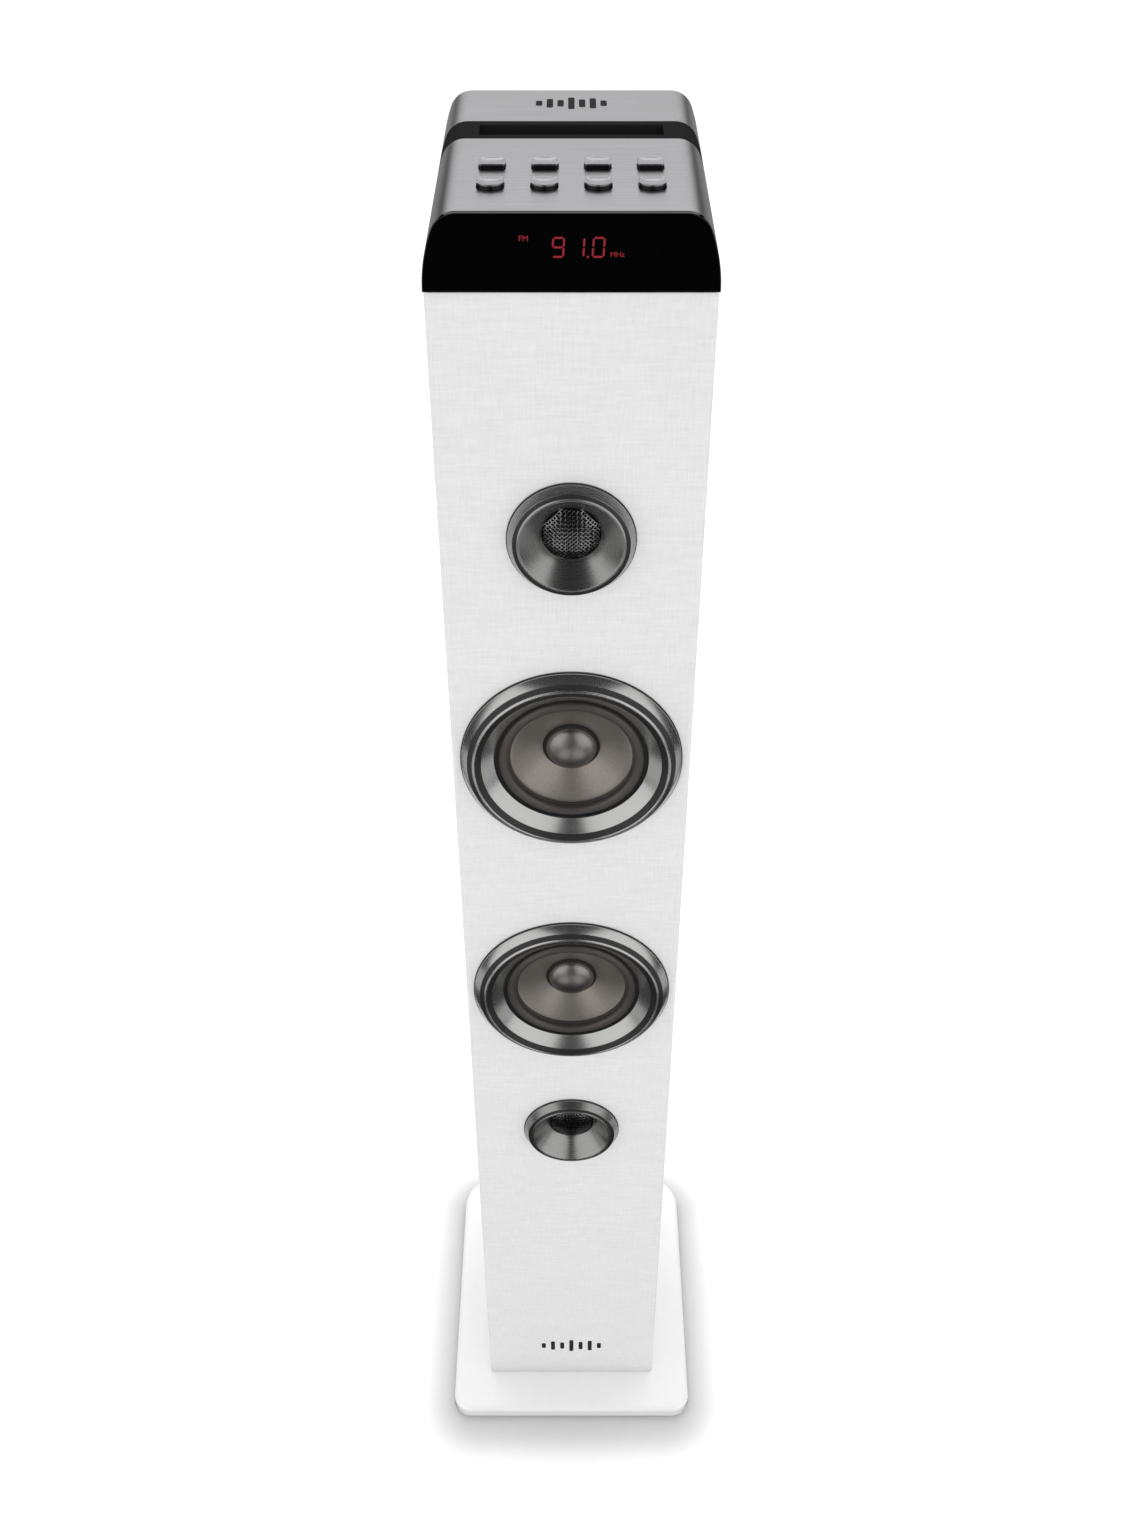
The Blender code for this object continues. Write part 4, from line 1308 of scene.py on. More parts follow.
@dataclass
class Tweeter(Driver):
    """A tweeter: the turned horn ring and the wire-cloth dome in its throat."""

    kind: str = "tweeter"
    anchor: str = "horn"
    mesh_radius: float = 16.3
    mesh_rim: float = 8.9
    mesh_rise: float = 4.4
    wire_pitch: float = 1.9
    wire_width: float = 0.58
    ripple: float = 0.42
    horn: Profile = (
        (36.5, -1.0),
        (36.5, -1.6),
        (33.4, -6.5),
        (31.0, -7.3),
        (30.2, -7.8),
        (29.4, -7.8),
        (28.7, -7.0),
        (26.0, -4.0),
        (23.0, -0.6),
        (20.2, 2.6),
        (17.4, 5.8),
        (16.8, 7.2),
        (16.8, 12.4),
        (24.0, 12.4),
        (24.0, 9.0),
        (25.6, 5.0),
        (25.6, 2.6),
        (31.0, 2.6),
        (31.0, -1.0),
    )

    def build(self) -> None:
        """Models the black ring of painted shade, the horn, the wire dome and its rim."""
        self.gasket(37.0)
        self.horn_ring()
        self.wire_dome()

    def horn_ring(self) -> None:
        """The turned ring and the flare that runs down to the throat, with a dark band of painted reflection
        on the ring.
        """
        ring = self.turned("horn_turned", self.horn, 0.2)
        finish = self.metal("turned_aluminium", "#8E8E8D", "#B2B2B1", 0.27)
        settle(ring, finish, [self.name("horn")])
        # Painted reflection: a thin dark band laid over the ring's slope.
        groove = [(33.3, -6.7), (31.1, -7.45), (31.1, -7.1), (33.3, -6.3)]
        band = self.turned("horn_bands", groove, 0.08)
        settle(band, self.metal("dark_anodised", "#1E1E1E", "#323232", 0.36, 0.3))

    def over(self, offset: Vector) -> bool:
        """Whether a crossing of the wires lies on the outer side, as every second one does."""
        across, up = (offset.x + offset.z) / math.sqrt(2), (offset.x - offset.z) / math.sqrt(2)
        return (round(across / self.wire_pitch) + round(up / self.wire_pitch)) % 2 == 0

    def wire_dome(self) -> None:
        """Calendered wire cloth: a flat lattice on the slant, rippled and pulled up into a dome."""
        reach, pitch = self.mesh_radius, self.wire_pitch
        place = self.place() + Vector((0, self.mesh_rim, 0))
        cells = 2 * math.ceil(reach / pitch)
        bpy.ops.mesh.primitive_grid_add(
            x_subdivisions=cells, y_subdivisions=cells, size=cells * pitch * MM, location=place * MM
        )
        net = bpy.context.object
        net.name = net.data.name = self.name("wire_dome")
        bpy.ops.object.transform_apply(location=True, rotation=True, scale=True)
        spun_about(net, place, 90, Axis.X)
        spun_about(net, place, 45, Axis.Y)
        with editing(net):
            pick(net, Element.FACE, lambda at, way: (at - place).length > reach - pitch * 0.25)
            bpy.ops.mesh.delete(type="FACE")
            bpy.ops.mesh.select_mode(type=Element.FACE.value)
            bpy.ops.mesh.select_all(action="SELECT")
            bpy.ops.mesh.inset(thickness=self.wire_width / 2 * MM, use_individual=True, use_even_offset=True)
            bpy.ops.mesh.delete(type="FACE")
            pick(net, Element.VERTEX, lambda at, way: self.over(at - place))
            shift_selection((0, -self.ripple, 0))
            pick(net, Element.VERTEX, lambda at, way: (at - place).xz.length < pitch)
            bpy.ops.transform.translate(
                value=(0, -self.mesh_rise * MM, 0),
                use_proportional_edit=True,
                proportional_edit_falloff="SPHERE",
                proportional_size=self.mesh_radius * MM,
            )
        apply_modifier(net, "SOLIDIFY", thickness=self.wire_width * MM, offset=0.0)
        smooth(net)
        settle(net, BLACK_WIRE, [self.name("mesh_dome")])
        rim = [
            (self.mesh_radius + 0.4, self.mesh_rim - 0.5),
            (self.mesh_radius + 0.4, self.mesh_rim + 0.9),
            (self.mesh_radius - 1.4, self.mesh_rim + 0.9),
            (self.mesh_radius - 1.4, self.mesh_rim - 0.5),
        ]
        settle(self.turned("mesh_rim", rim, 0.2), MOULDED_ABS)


# ---------------------------------------------------------------------------------------------------
# Head


@dataclass
class Head:
    """The cap on top of the column: window, brushed shells, cradle and display."""

    side_radius: float = 90.0
    corner_radius: float = 13.4
    wall: float = 2.4
    button_clearance: float = 0.35
    slot_half_length: float = 50.0
    slot_front: float = 18.0
    slot_width: float = 13.0
    slot_depth: float = 9.0
    slot_lean: float = 15.0
    digit_pitch: float = 10.0
    digit_size: tuple[float, float] = (6.4, 10.7)
    stroke: float = 1.0

    def outline(self, inset: float, count: int = 14) -> Outline:
        """The head's outline seen from the front, open along its lower edge.

        Args:
            inset: How far the outline is set in, for the shells' inner face.
            count: Chords in each arc.

        Returns:
            Points (x, z) from right to left.
        """
        low, high = span("display_window")
        side, corner = self.side_radius - inset, self.corner_radius - inset
        side_x = high.x - self.side_radius
        corner_z = high.z - low.z - self.corner_radius
        reach = self.side_radius - self.corner_radius
        corner_x = side_x + math.sqrt(reach**2 - corner_z**2)
        join = math.degrees(math.atan2(corner_z, corner_x - side_x))
        right = arc((side_x, 0), side, 0, join, count)[:-1]
        right += arc((corner_x, corner_z), corner, join, 90, count)
        left = [(-x, z) for x, z in reversed(right)]
        return [(x, z + low.z) for x, z in right + left]

    def build(self) -> None:
        """Models everything in the head but the buttons."""
        self.window()
        self.shells()
        self.cradle()
        self.digits()
        self.words()

    def window(self) -> None:
        """The smoked window over the full front."""
        low, high = span("display_window")
        window = prism("display_window_smoked", self.outline(0), low.y, high.y, Axis.Y)
        smooth(window, 0.5, 3)
        settle(window, SMOKED_ACRYLIC, ["display_window"])

    def shells(self) -> None:
        """The two brushed shells; the front one has a hole for each button."""
        arch = self.outline(0) + list(reversed(self.outline(self.wall)))
        low, high = span("front_shell")
        front = prism("front_shell_brushed", arch, low.y, high.y, Axis.Y)
        for row in Row:
            for i in range(1, 5):
                button = ButtonRow(row).middle_of(i)
                hole = ButtonRow(row).outline(button, self.button_clearance)
                carve(front, prism("hole", hole, high.z - 9, high.z + 9, Axis.Z))
        smooth(front, 0.3, 2, 40)
        settle(front, BRUSHED_ALUMINIUM, ["front_shell"])
        low, high = span("rear_shell")
        rear = prism("rear_shell_brushed", arch, low.y, high.y - 1.0, Axis.Y)
        end = prism("end", self.outline(0), high.y - self.wall, high.y, Axis.Y)
        carve(rear, end, Carve.JOIN)
        smooth(rear, 0.45, 3, 40)
        settle(rear, BRUSHED_ALUMINIUM, ["rear_shell"])

    def cradle(self) -> None:
        """The black band with the leaning slot and a soft lining."""
        low, high = span("device_cradle")
        cradle = prism("device_cradle_moulded", self.outline(0), low.y, high.y, Axis.Y)
        lean = math.tan(math.radians(self.slot_lean))
        back = self.slot_front + self.slot_width
        floor, past = high.z - self.slot_depth, 4.0
        section = [
            (self.slot_front, floor),
            (back, floor),
            (back + (self.slot_depth + past) * lean, high.z + past),
            (self.slot_front, high.z + past),
        ]
        half = self.slot_half_length
        carve(cradle, prism("slot", section, -half, half, Axis.X))
        smooth(cradle, 0.4, 2, 40)
        settle(cradle, MOULDED_ABS, ["device_cradle"])
        inset = 0.4
        pad = slab(
            "cradle_lining",
            (-half + inset, self.slot_front + inset, floor + 0.02),
            (half - inset, back - inset, floor + 1.0),
        )
        with editing(pad):
            bpy.ops.mesh.select_all(action="SELECT")
            bpy.ops.mesh.subdivide(number_cuts=5)
        smooth(pad, 0.3, 2)
        settle(pad, FOOT_RUBBER_AND_PAINTED_SHADE)

    def digits(self) -> None:
        """Seven-segment digits of the lit display, just proud of the window's face."""
        lit = {"9": "abcfgd", "1": "bc", "0": "abcdef"}
        face = span("display_window")[0].y
        base = span("display_window")[0].z + 18.2
        width, height = self.digit_size
        stroke, slant = self.stroke, 0.06
        bars = []
        for cell, figure in ((-1, "9"), (0, "1"), (1, "0")):
            centre = 3.5 + cell * self.digit_pitch
            for segment in lit[figure]:
                bars.append(self.segment(segment, centre, base, width, height, stroke, slant, face))
        point = self.bar((8.2 - stroke / 2, base - 0.1), (8.2 + stroke / 2, base + stroke), face)
        digits = joined([*bars, point], "display_digits")
        settle(digits, LIT_SEGMENT)

    def segment(
        self,
        which: str,
        centre: float,
        base: float,
        width: float,
        height: float,
        stroke: float,
        slant: float,
        face: float,
    ) -> bpy.types.Object:
        """One segment of a digit: a leaning bar with pointed ends.

        Args:
            which: The segment's letter, from a at the top, clockwise, to g in the middle.
            centre: Middle of the digit along X.
            base: Height of the digit's lower edge.
            width: The digit's width.
            height: The digit's height.
            stroke: The bar's thickness.
            slant: How far the digit leans for each unit of height.
            face: The window's front face.

        Returns:
            The bar.
        """
        half, tip, gap = stroke / 2, stroke / 2, 0.22
        left, right = centre - width / 2 + half, centre + width / 2 - half
        low, mid, high = base + half, base + height / 2, base + height - half
        ends = {
            "a": ((left, high), (right, high)),
            "b": ((right, mid), (right, high)),
            "c": ((right, low), (right, mid)),
            "d": ((left, low), (right, low)),
            "e": ((left, low), (left, mid)),
            "f": ((left, mid), (left, high)),
            "g": ((left, mid), (right, mid)),
        }[which]
        (x0, z0), (x1, z1) = ends
        flat = z0 == z1
        if flat:
            x0, x1 = x0 + gap, x1 - gap
            lower = [(x0, z0), (x0 + tip, z0 - half), (x1 - tip, z0 - half)]
            outline = [*lower, (x1, z0), (x1 - tip, z0 + half), (x0 + tip, z0 + half)]
        else:
            z0, z1 = z0 + gap, z1 - gap
            right_side = [(x0, z0), (x0 + half, z0 + tip), (x0 + half, z1 - tip)]
            outline = [*right_side, (x0, z1), (x0 - half, z1 - tip), (x0 - half, z0 + tip)]
        leaning = [(x + (z - base - height / 2) * slant, z) for x, z in outline]
        return prism("segment", leaning, face - 0.12, face + 0.2, Axis.Y)

    def bar(self, low: tuple[float, float], high: tuple[float, float], face: float) -> bpy.types.Object:
        """A small upright bar on the window's face, between two corners (x, z)."""
        return slab("bar", (low[0], face - 0.12, low[1]), (high[0], face + 0.2, high[1]))

    def words(self) -> None:
        """The band and unit words beside the digits, which are the usual ones on any tuner."""
        face, base = span("display_window")[0].y, span("display_window")[0].z
        made = []
        for text, x, z, size in (("FM", -23.7, 27.9, 4.1), ("MHz", 22.8, 19.8, 3.8)):
            bpy.ops.object.text_add(location=(0, 0, 0))
            word = bpy.context.object
            word.data.body = text
            word.data.align_x = word.data.align_y = "CENTER"
            word.data.size = size * MM
            word.data.extrude = 0.06 * MM
            bpy.ops.object.convert(target="MESH")
            word = bpy.context.object
            word.rotation_euler = (math.pi / 2, 0, 0)
            word.location = Vector((x, face - 0.03, base + z)) * MM
            bpy.ops.object.transform_apply(location=True, rotation=True, scale=True)
            made.append(word)
        settle(joined(made, "display_words"), LIT_SEGMENT)


@dataclass
class ButtonRow:
    """A row of four D-shaped buttons: black sides under a dished silver cap."""

    row: Row
    width: float = 13.6
    depth: float = 11.6
    arc_radius: float = 8.4
    corner_radius: float = 1.2
    flange: float = 1.0
    cap_height: float = 1.0
    dish_steps: Profile = ((0.9, 0.0), (0.87, 0.3), (0.8, 0.22), (0.7, 0.12), (0.5, 0.04))

    def name(self, index: int) -> str:
        """Name of a button's CAD node."""
        return f"button_{self.row.name.lower()}_{index}"

    def middle_of(self, index: int) -> Vector:
        """The button's centre, on its plan's own origin."""
        low, high = span(self.name(index))
        inner = low.y if self.row is Row.REAR else high.y
        away = self.row.value
        reach = self.depth / 2 + self.edge_reach()
        return Vector((middle(self.name(index)).x, inner + away * reach, high.z))

    def edge_reach(self) -> float:
        """How far the flange stands past the plan's straight side."""
        straight = self.depth / 2
        corner = math.hypot(self.width / 2 - self.corner_radius, straight)
        return straight * self.flange / corner

    def outline(self, place: Vector, grow: float) -> Outline:
        """The D-shaped plan about a place.

        Args:
            place: The button's centre.
            grow: How far the outline is set out.

        Returns:
            Points (x, y), anticlockwise for the rear row.
        """
        half, corner, straight = self.width / 2, self.corner_radius, -self.depth / 2
        points = arc((-half + corner, straight + corner), corner, 180, 270, 5)
        points += arc((half - corner, straight + corner), corner, 270, 360, 5)
        opening = math.degrees(math.asin(half / self.arc_radius))
        points += arc((0, self.depth / 2 - self.arc_radius), self.arc_radius, 90 - opening, 90 + opening, 16)
        plan = []
        for x, y in points:
            stretch = 1 + grow / math.hypot(x, y)
            plan.append((place.x + x * stretch, place.y + y * stretch * self.row.value))
        return plan

    def build(self) -> None:
        """Models the row's first button and copies it."""
        first = self.middle_of(1)
        low, high = span(self.name(1))
        shell_top = span("front_shell")[1].z
        split = high.z - self.cap_height
        stem = prism(f"{self.name(1)}_sides", self.outline(first, 0), shell_top - 2.8, split, Axis.Z)
        skirt = prism("skirt", self.outline(first, self.flange), shell_top - 4.4, shell_top - 2.7, Axis.Z)
        carve(stem, skirt, Carve.JOIN)
        foot = prism("foot", self.outline(first, -3.6), low.z, shell_top - 4.0, Axis.Z)
        carve(stem, foot, Carve.JOIN)
        smooth(stem, 0.15, 2, 40)
        cap = self.cap(first, split, high.z)
        made = [(stem, cap)]
        for i in range(2, 5):
            offset = (self.middle_of(i).x - first.x, 0, 0)
            sides = copy_of(stem, f"{self.name(i)}_sides", offset)
            made.append((sides, copy_of(cap, f"{self.name(i)}_cap", offset)))
        for i, (sides, top) in enumerate(made, start=1):
            body = f"{self.name(i)}_body"
            settle(sides, GLOSS_ABS, [self.name(i)], body)
            settle(top, SATIN_ALUMINIUM, body=body)

    def cap(self, place: Vector, bottom: float, top: float) -> bpy.types.Object:
        """The pressed silver cap, dished by ever smaller steps.

        Args:
            place: The button's centre.
            bottom: Height of its underside.
            top: Height of its rim.

        Returns:
            The cap.
        """
        cap = prism(f"{self.name(1)}_cap", self.outline(place, 0.05), bottom, top, Axis.Z)
        centre = Vector((place.x, place.y, top)) * MM
        with editing(cap):
            pick(cap, Element.FACE, lambda at, way: way.z > 0.9)
            for shrink, drop in self.dish_steps:
                bpy.ops.mesh.extrude_region_move(TRANSFORM_OT_translate={"value": (0, 0, -drop * MM)})
                bpy.ops.transform.resize(value=(shrink, shrink, 1), center_override=centre)
        smooth(cap, 0.16, 2, 60)
        return cap


@dataclass
class Badge:
    """A generic equaliser mark: upright bars of rising and falling height."""

    name: str
    face: Axis
    centre: Vector
    half_width: float = 27.0
    height: float = 19.0
    bar_width: float = 3.6
    raise_by: float = 0.12
    heights: tuple[float, ...] = (0.42, 0.74, 0.55, 1.0, 0.66, 0.86, 0.46)

    def build(self) -> None:
        """Models the bars and joins them into one printed mark."""
        count = len(self.heights)
        pitch = (2 * self.half_width - self.bar_width) / (count - 1)
        bars = []
        for i, share in enumerate(self.heights):
            u = self.centre.x - self.half_width + self.bar_width / 2 + i * pitch
            half = self.height * share / 2
            outline = rounded_box_outline(self.bar_width, 2 * half, [self.bar_width / 2 - 0.6] * 4, 5)
            if self.face is Axis.Y:
                plan = [(u + x, self.centre.z + z) for x, z in outline]
                bars.append(prism("bar", plan, self.centre.y - self.raise_by, self.centre.y + 0.1, Axis.Y))
            else:
                plan = [(u + x, self.centre.y + y) for x, y in outline]
                bars.append(prism("bar", plan, self.centre.z - 0.1, self.centre.z + self.raise_by, Axis.Z))
        mark = joined(bars, self.name)
        smooth(mark)
        settle(mark, SCREEN_INK)


# ---------------------------------------------------------------------------------------------------
# Rear panel


@dataclass
class RearPanel:
    """The moulded panel low on the back, with its sockets, inlet, rocker and screws."""

    screw_inset: float = 5.0
    screw_head: float = 3.2
    line_inset: float = 9.0
    line_width: float = 0.8
    line_depth: float = 0.35
    inlet_body: tuple[float, float] = (27.0, 20.0)
    inlet_cavity: tuple[float, float] = (22.6, 16.0)
    inlet_depth: float = 17.0
    rocker_size: tuple[float, float] = (13.0, 19.0)
    rocker_axis: float = 132.0  # height of the rocker's pin
    socket_radius: float = 4.15
    socket_length: float = 9.5

    def build(self) -> None:
        """Models the panel and what it carries."""
        self.plate()
        self.screws()
        self.inlet()
        self.rocker()
        self.sockets()

    def plate(self) -> None:
        """The panel, with windows for the inlet and the rocker and a sunk line round its edge."""
        low, high = span("rear_panel")
        plate = slab("rear_panel_moulded", low, high)
        inlet, rocker = middle("mains_inlet"), middle("power_rocker")
        for place, (width, height), grow in (
            (inlet, self.inlet_body, 0.3),
            (rocker, self.rocker_size, 0.6),
        ):
            half_x, half_z = width / 2 + grow, height / 2 + grow
            tool = slab(
                "window",
                (place.x - half_x, low.y - 5, place.z - half_z),
                (place.x + half_x, high.y + 5, place.z + half_z),
            )
            carve(plate, tool)
        outer, inner = self.line_inset, self.line_inset + self.line_width
        line_out = slab(
            "line",
            (low.x + outer, high.y - self.line_depth, low.z + outer),
            (high.x - outer, high.y + 2, high.z - outer),
        )
        line_in = slab(
            "line",
            (low.x + inner, high.y - 2, low.z + inner),
            (high.x - inner, high.y + 3, high.z - inner),
        )
        carve(line_out, line_in)
        carve(plate, line_out)
        smooth(plate, 0.3, 2)
        settle(plate, MOULDED_ABS, ["rear_panel"])

    def screws(self) -> None:
        """Pan-head screws with a cross recess at the panel's corners and sides."""
        low, high = span("rear_panel")
        inset = self.screw_inset
        radius = self.screw_head
        first = Vector((low.x + inset, high.y, low.z + inset))
        profile = [(0, -0.2), (radius, -0.2), (radius, 0.7)]
        profile += [(radius * 0.8, 1.3), (radius * 0.4, 1.6), (0, 1.7)]
        head = turn("panel_screw_1", profile, first, edge=0.1, steps=32)
        arm, tip = 1.7, 0.35
        for half_x, half_z in ((arm, tip), (tip, arm)):
            low_corner = (first.x - half_x, first.y + 0.7, first.z - half_z)
            carve(head, slab("cross", low_corner, (first.x + half_x, first.y + 3, first.z + half_z)))
        smooth(head)
        across, up = high.x - low.x - 2 * inset, high.z - low.z - 2 * inset
        places = ((across, 0), (0, up), (across, up), (0, up / 2), (across, up / 2))
        made = [head]
        made += [copy_of(head, f"panel_screw_{i}", (x, 0, z)) for i, (x, z) in enumerate(places, start=2)]
        for screw in made:
            settle(screw, BLACK_STEEL)

    def inlet(self) -> None:
        """The mains inlet: a chamfered shroud with three pins in it."""
        place = middle("mains_inlet")
        face = span("rear_panel")[1].y
        half_x, half_z = self.inlet_body[0] / 2, self.inlet_body[1] / 2
        body = slab(
            "mains_inlet_shroud",
            (place.x - half_x, face - self.inlet_depth - 3, place.z - half_z),
            (place.x + half_x, face, place.z + half_z),
        )
        cut_x, cut_z = self.inlet_cavity[0] / 2, self.inlet_cavity[1] / 2
        corner = 4.0
        outline = [
            (-cut_x, -cut_z),
            (cut_x, -cut_z),
            (cut_x, cut_z - corner),
            (cut_x - corner, cut_z),
            (-cut_x + corner, cut_z),
            (-cut_x, cut_z - corner),
        ]
        around = [(place.x + x, place.z + z) for x, z in outline]
        carve(body, prism("cavity", around, face - self.inlet_depth, face + 5, Axis.Y))
        smooth(body, 0.3, 2)
        settle(body, MOULDED_ABS, ["mains_inlet"])
        pins = []
        for x, z in ((-7.0, 1.6), (7.0, 1.6), (0.0, -2.6)):
            low = (place.x + x - 1, face - self.inlet_depth - 0.5, place.z + z - 2)
            pin = slab("pin", low, (place.x + x + 1, face - 5, place.z + z + 2))
            smooth(pin, 0.4, 3)
            pins.append(pin)
        settle(joined(pins, "mains_inlet_pins"), NICKEL)

    def rocker(self) -> None:
        """The rocker switch: a dished lever that rests tipped, with its two marks."""
        face = span("rear_panel")[1].y
        place = Vector((middle("power_rocker").x, face, self.rocker_axis))
        half_x, half_z = self.rocker_size[0] / 2, self.rocker_size[1] / 2
        tip = 7.0
        end = 2.2 - half_z * math.tan(math.radians(tip)) * 0.4
        section = [(-8.0, -half_z * 0.45), (-8.0, half_z * 0.45), (-2.0, half_z), (end, half_z)]
        dish = 0.4
        for share in (0.66, 0.33, 0, -0.33, -0.66):
            section.append((dish + (end - dish) * share**2, half_z * share))
        section += [(end, -half_z), (-2.0, -half_z)]
        outline = [(place.y + y, place.z + z) for y, z in section]
        lever = prism("power_rocker_lever", outline, place.x - half_x, place.x + half_x, Axis.X)
        smooth(lever, 0.3, 2)
        sunk, proud = 0.6, 1.15
        on_mark = slab(
            "on",
            (place.x - 0.35, face + sunk, place.z + 4.8),
            (place.x + 0.35, face + proud, place.z + 6.9),
        )
        ring = [(1.1, sunk), (1.6, sunk), (1.6, proud), (1.1, proud)]
        off_place = Vector((place.x, face, place.z - 5.8))
        off_mark = turn("off", ring, off_place, edge=0.05, steps=32)
        marks = joined([on_mark, off_mark], "power_rocker_marks")
        spun_about(lever, place, tip, Axis.X)
        spun_about(marks, place, tip, Axis.X)
        settle(marks, WHITE_PRINT, body="power_rocker_body")
        settle(lever, GLOSS_ABS, ["power_rocker"], "power_rocker_body")
        bezel_out = slab(
            "power_rocker_bezel",
            (place.x - half_x - 2.6, face - 0.4, place.z - half_z - 2.6),
            (place.x + half_x + 2.6, face + 0.9, place.z + half_z + 2.6),
        )
        hollow = slab(
            "hollow",
            (place.x - half_x - 0.6, face - 2, place.z - half_z - 0.6),
            (place.x + half_x + 0.6, face + 3, place.z + half_z + 0.6),
        )
        carve(bezel_out, hollow)
        smooth(bezel_out, 0.3, 2)
        settle(bezel_out, MOULDED_ABS)

    def sockets(self) -> None:
        """Two phono sockets on a small plate, with a red and a white insulator."""
        low, high = span("audio_input_sockets")
        plate_back = span("rear_panel")[1].y + 1.5
        plate = slab("audio_socket_plate", (low.x, low.y, low.z), (high.x, plate_back, high.z))
        smooth(plate, 0.35, 2)
        settle(plate, MOULDED_ABS, ["audio_input_sockets"])
        centre = middle("audio_input_sockets")
        radius, length = self.socket_radius, self.socket_length
        for i, (x, finish) in enumerate(((14.0, RED_NYLON), (-14.0, WHITE_NYLON)), start=1):
            place = Vector((centre.x + x, plate_back, centre.z))
            bore, rim = radius + 0.1, radius + 2.6
            collar = [(bore, -0.2), (rim, -0.2), (rim, 0.6), (rim - 0.7, 1.2), (bore, 1.2)]
            settle(turn(f"phono_collar_{i}", collar, place, edge=0.15, steps=48), finish)
            shell = [
                (radius, -0.2),
                (radius, length),
                (radius - 0.6, length),
                (radius - 0.6, 1.0),
                (1.7, 1.0),
                (1.7, -0.2),
            ]
            settle(turn(f"phono_shell_{i}", shell, place, edge=0.15, steps=48), NICKEL)
            core = [(1.6, 0.0), (1.6, length - 1.6), (3.4, length - 1.6), (3.4, 0.9), (1.7, 0.9)]
            settle(turn(f"phono_core_{i}", core, place, edge=0.1, steps=48), finish)


# ---------------------------------------------------------------------------------------------------
# Inner parts and studio


def dress_cad_nodes() -> None:
    """Gives every CAD node that still shows a finish, found by a word in its name, in all of its material
    slots.
    """
    for name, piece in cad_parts.items():
        if piece.hide_render:
            continue
        finish = next(made for part, made in CAD_FINISHES.items() if part in name)
        for holder in piece.material_slots:
            holder.material = finish.material()
        LOG.info("%s: CAD shape in %s", name, finish.title)


@dataclass(frozen=True)
class SoftBox:
    """A rectangular light: its place, what it faces, its size in metres and how bright its face is.

    Most of them show only as reflections, because the even surround already lights matt surfaces.
    """

    name: str
    place: tuple[float, float, float]
    target: tuple[float, float, float]
    size: tuple[float, float]
    radiance: float
    lights_matt: bool = False

    def build(self) -> None:
        """Adds the light to the studio."""
        bpy.ops.object.light_add(type="AREA", location=self.place)
        lamp = bpy.context.object
        lamp.name = self.name
        lamp.data.shape = "RECTANGLE"
        lamp.data.size, lamp.data.size_y = self.size
        lamp.data.energy = self.radiance * math.pi * self.size[0] * self.size[1]
        towards = Vector(self.target) - Vector(self.place)
        lamp.rotation_euler = towards.to_track_quat("-Z", "Y").to_euler()
        lamp.visible_camera = False
        lamp.visible_diffuse = self.lights_matt


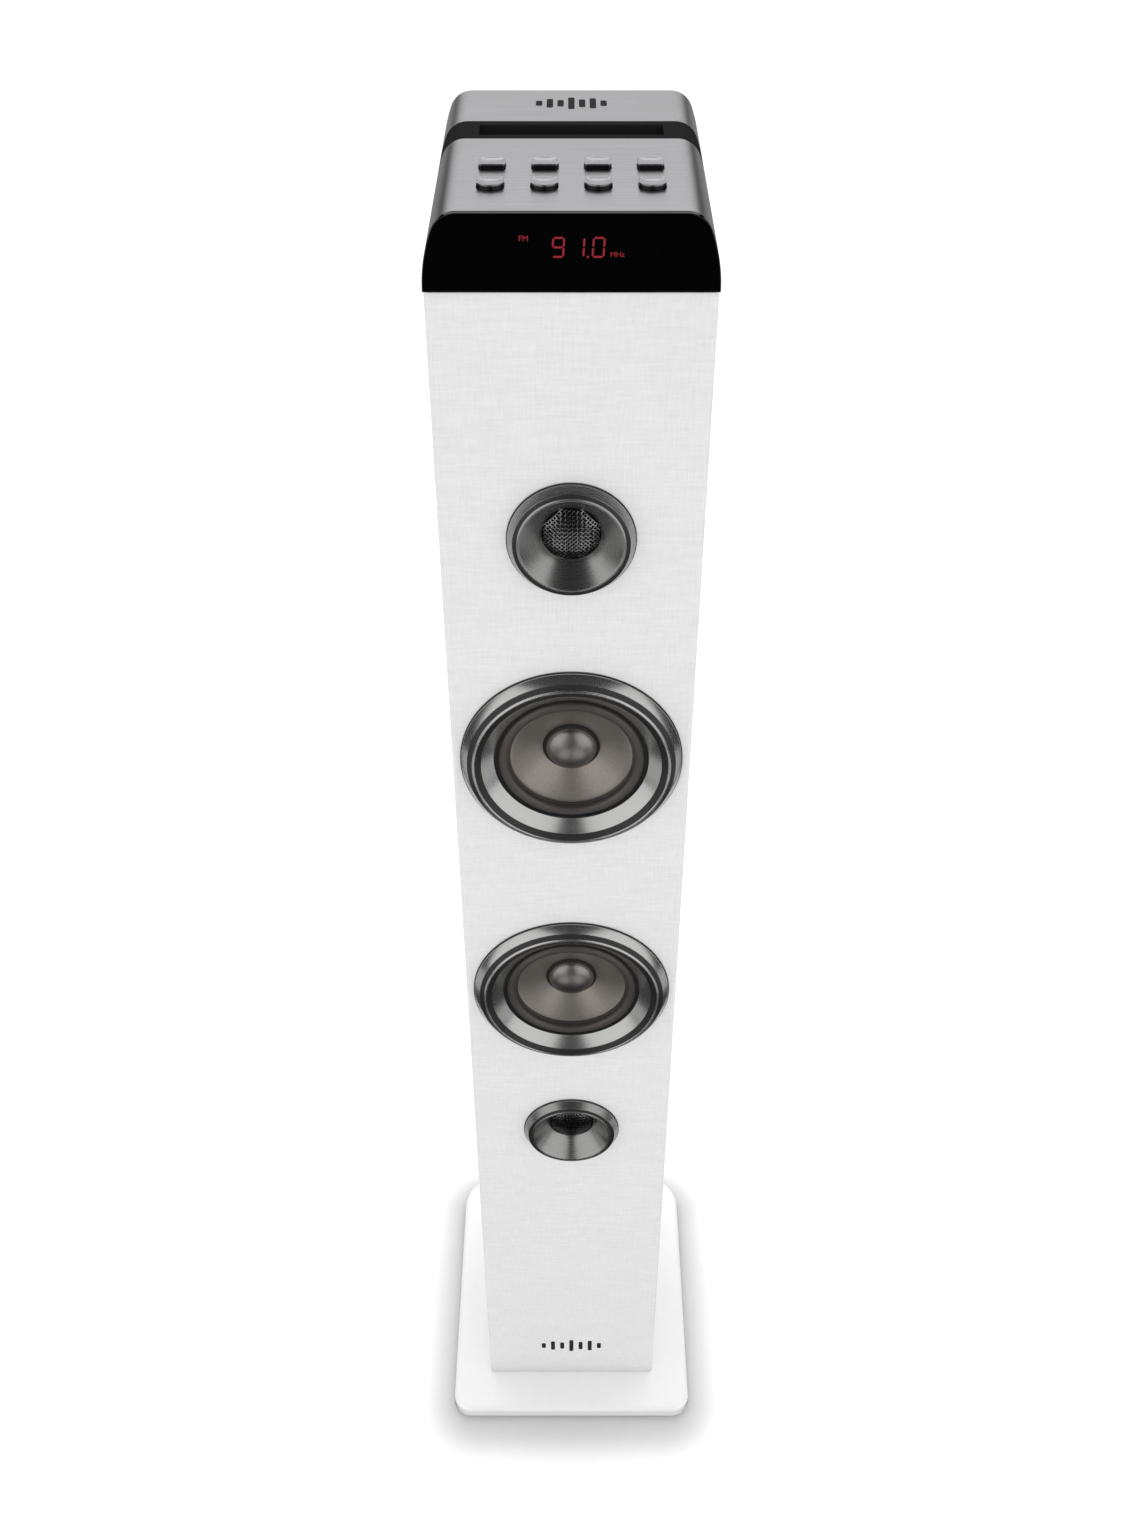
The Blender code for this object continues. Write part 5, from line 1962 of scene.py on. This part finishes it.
@dataclass
class Studio:
    """A white floor, soft light from both sides and above, and the camera."""

    camera_place: tuple[float, float, float] = (0.0, -0.857, 1.4154)
    camera_pitch: float = 49.75
    lens: float = 37.776
    sensor: float = 36.0
    shift: tuple[float, float] = (-0.0009, -0.002)
    floor_size: float = 80.0
    ambient: float = 1.02
    boxes: tuple[SoftBox, ...] = (
        SoftBox("left_wall", (-1.27, -1.3, 1.15), (0.0, 0.0, 0.9), (2.2, 2.3), 1.0),
        SoftBox("right_wall", (1.27, -1.3, 1.15), (0.0, 0.0, 0.9), (2.2, 2.3), 1.0),
        SoftBox("left_strip", (-0.29, -1.16, 0.01), (-0.29, -1.16, 1.0), (0.38, 1.08), 1.0),
        SoftBox("right_strip", (0.29, -1.16, 0.01), (0.29, -1.16, 1.0), (0.38, 1.08), 1.0),
        SoftBox("left_spill", (-1.05, -0.4, 0.01), (-1.05, -0.4, 1.0), (0.8, 1.2), 0.55),
        SoftBox("right_spill", (1.05, -0.4, 0.01), (1.05, -0.4, 1.0), (0.8, 1.2), 0.55),
        SoftBox("rear_box", (0.0, 1.9, 1.9), (0.0, 0.0, 1.1), (1.6, 1.5), 0.74),
        SoftBox("rear_low", (0.0, 2.1, 0.5), (0.0, 0.0, 1.1), (3.6, 1.4), 0.4),
        SoftBox("sky_box", (0.0, 1.6, 3.0), (0.0, 0.0, 0.0), (3.4, 2.2), 0.9, lights_matt=True),
    )

    def build(self) -> None:
        """Sets up the floor, the world, the lights and the camera."""
        self.floor()
        self.world()
        for box in self.boxes:
            box.build()
        self.camera()
        bpy.context.scene.view_settings.view_transform = "Standard"

    def floor(self) -> None:
        """A back-lit white sheet, which the glossy pieces don't mirror."""
        bpy.ops.mesh.primitive_plane_add(size=self.floor_size, location=(0, 0, 0))
        floor = bpy.context.object
        floor.name = "studio_floor"
        floor.data.materials.append(SHOOTING_TABLE.material())
        floor.visible_glossy = False

    def world(self) -> None:
        """An even white surround that lights matt stuff and isn't mirrored."""
        world = bpy.data.worlds.new("white_surround")
        bpy.context.scene.world = world
        world.use_nodes = True
        back = world.node_tree.nodes["Background"]
        back.inputs["Color"].default_value = (1.0, 1.0, 1.0, 1.0)
        back.inputs["Strength"].default_value = self.ambient
        world.cycles_visibility.glossy = False

    def camera(self) -> None:
        """The camera, level with the head and looking down the column."""
        bpy.ops.object.camera_add(
            location=self.camera_place, rotation=(math.radians(self.camera_pitch), 0, 0)
        )
        camera = bpy.context.object
        camera.name = "studio_camera"
        camera.data.sensor_width = self.sensor
        camera.data.lens = self.lens
        camera.data.shift_x, camera.data.shift_y = self.shift
        camera.data.clip_start, camera.data.clip_end = 0.01, 100.0
        bpy.context.scene.camera = camera


def main() -> None:
    """Builds the column around the frame."""
    logging.basicConfig(level=logging.INFO, format="%(message)s")
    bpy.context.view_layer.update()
    Studio().build()
    BasePlate().build()
    Cabinet().build()
    for level in Level:
        Woofer(level).build()
        Tweeter(level).build()
    Head().build()
    for row in Row:
        ButtonRow(row).build()
    face = span("front_baffle")[0].y
    shell_low, shell_high = span("rear_shell")
    Badge("front_badge", Axis.Y, Vector((0, face, 61.3))).build()
    top_mark = Vector((0, (shell_low.y + shell_high.y) / 2 + 3.5, shell_high.z))
    Badge("top_badge", Axis.Z, top_mark, half_width=20.0).build()
    RearPanel().build()
    dress_cad_nodes()


if __name__ == "__main__":
    main()
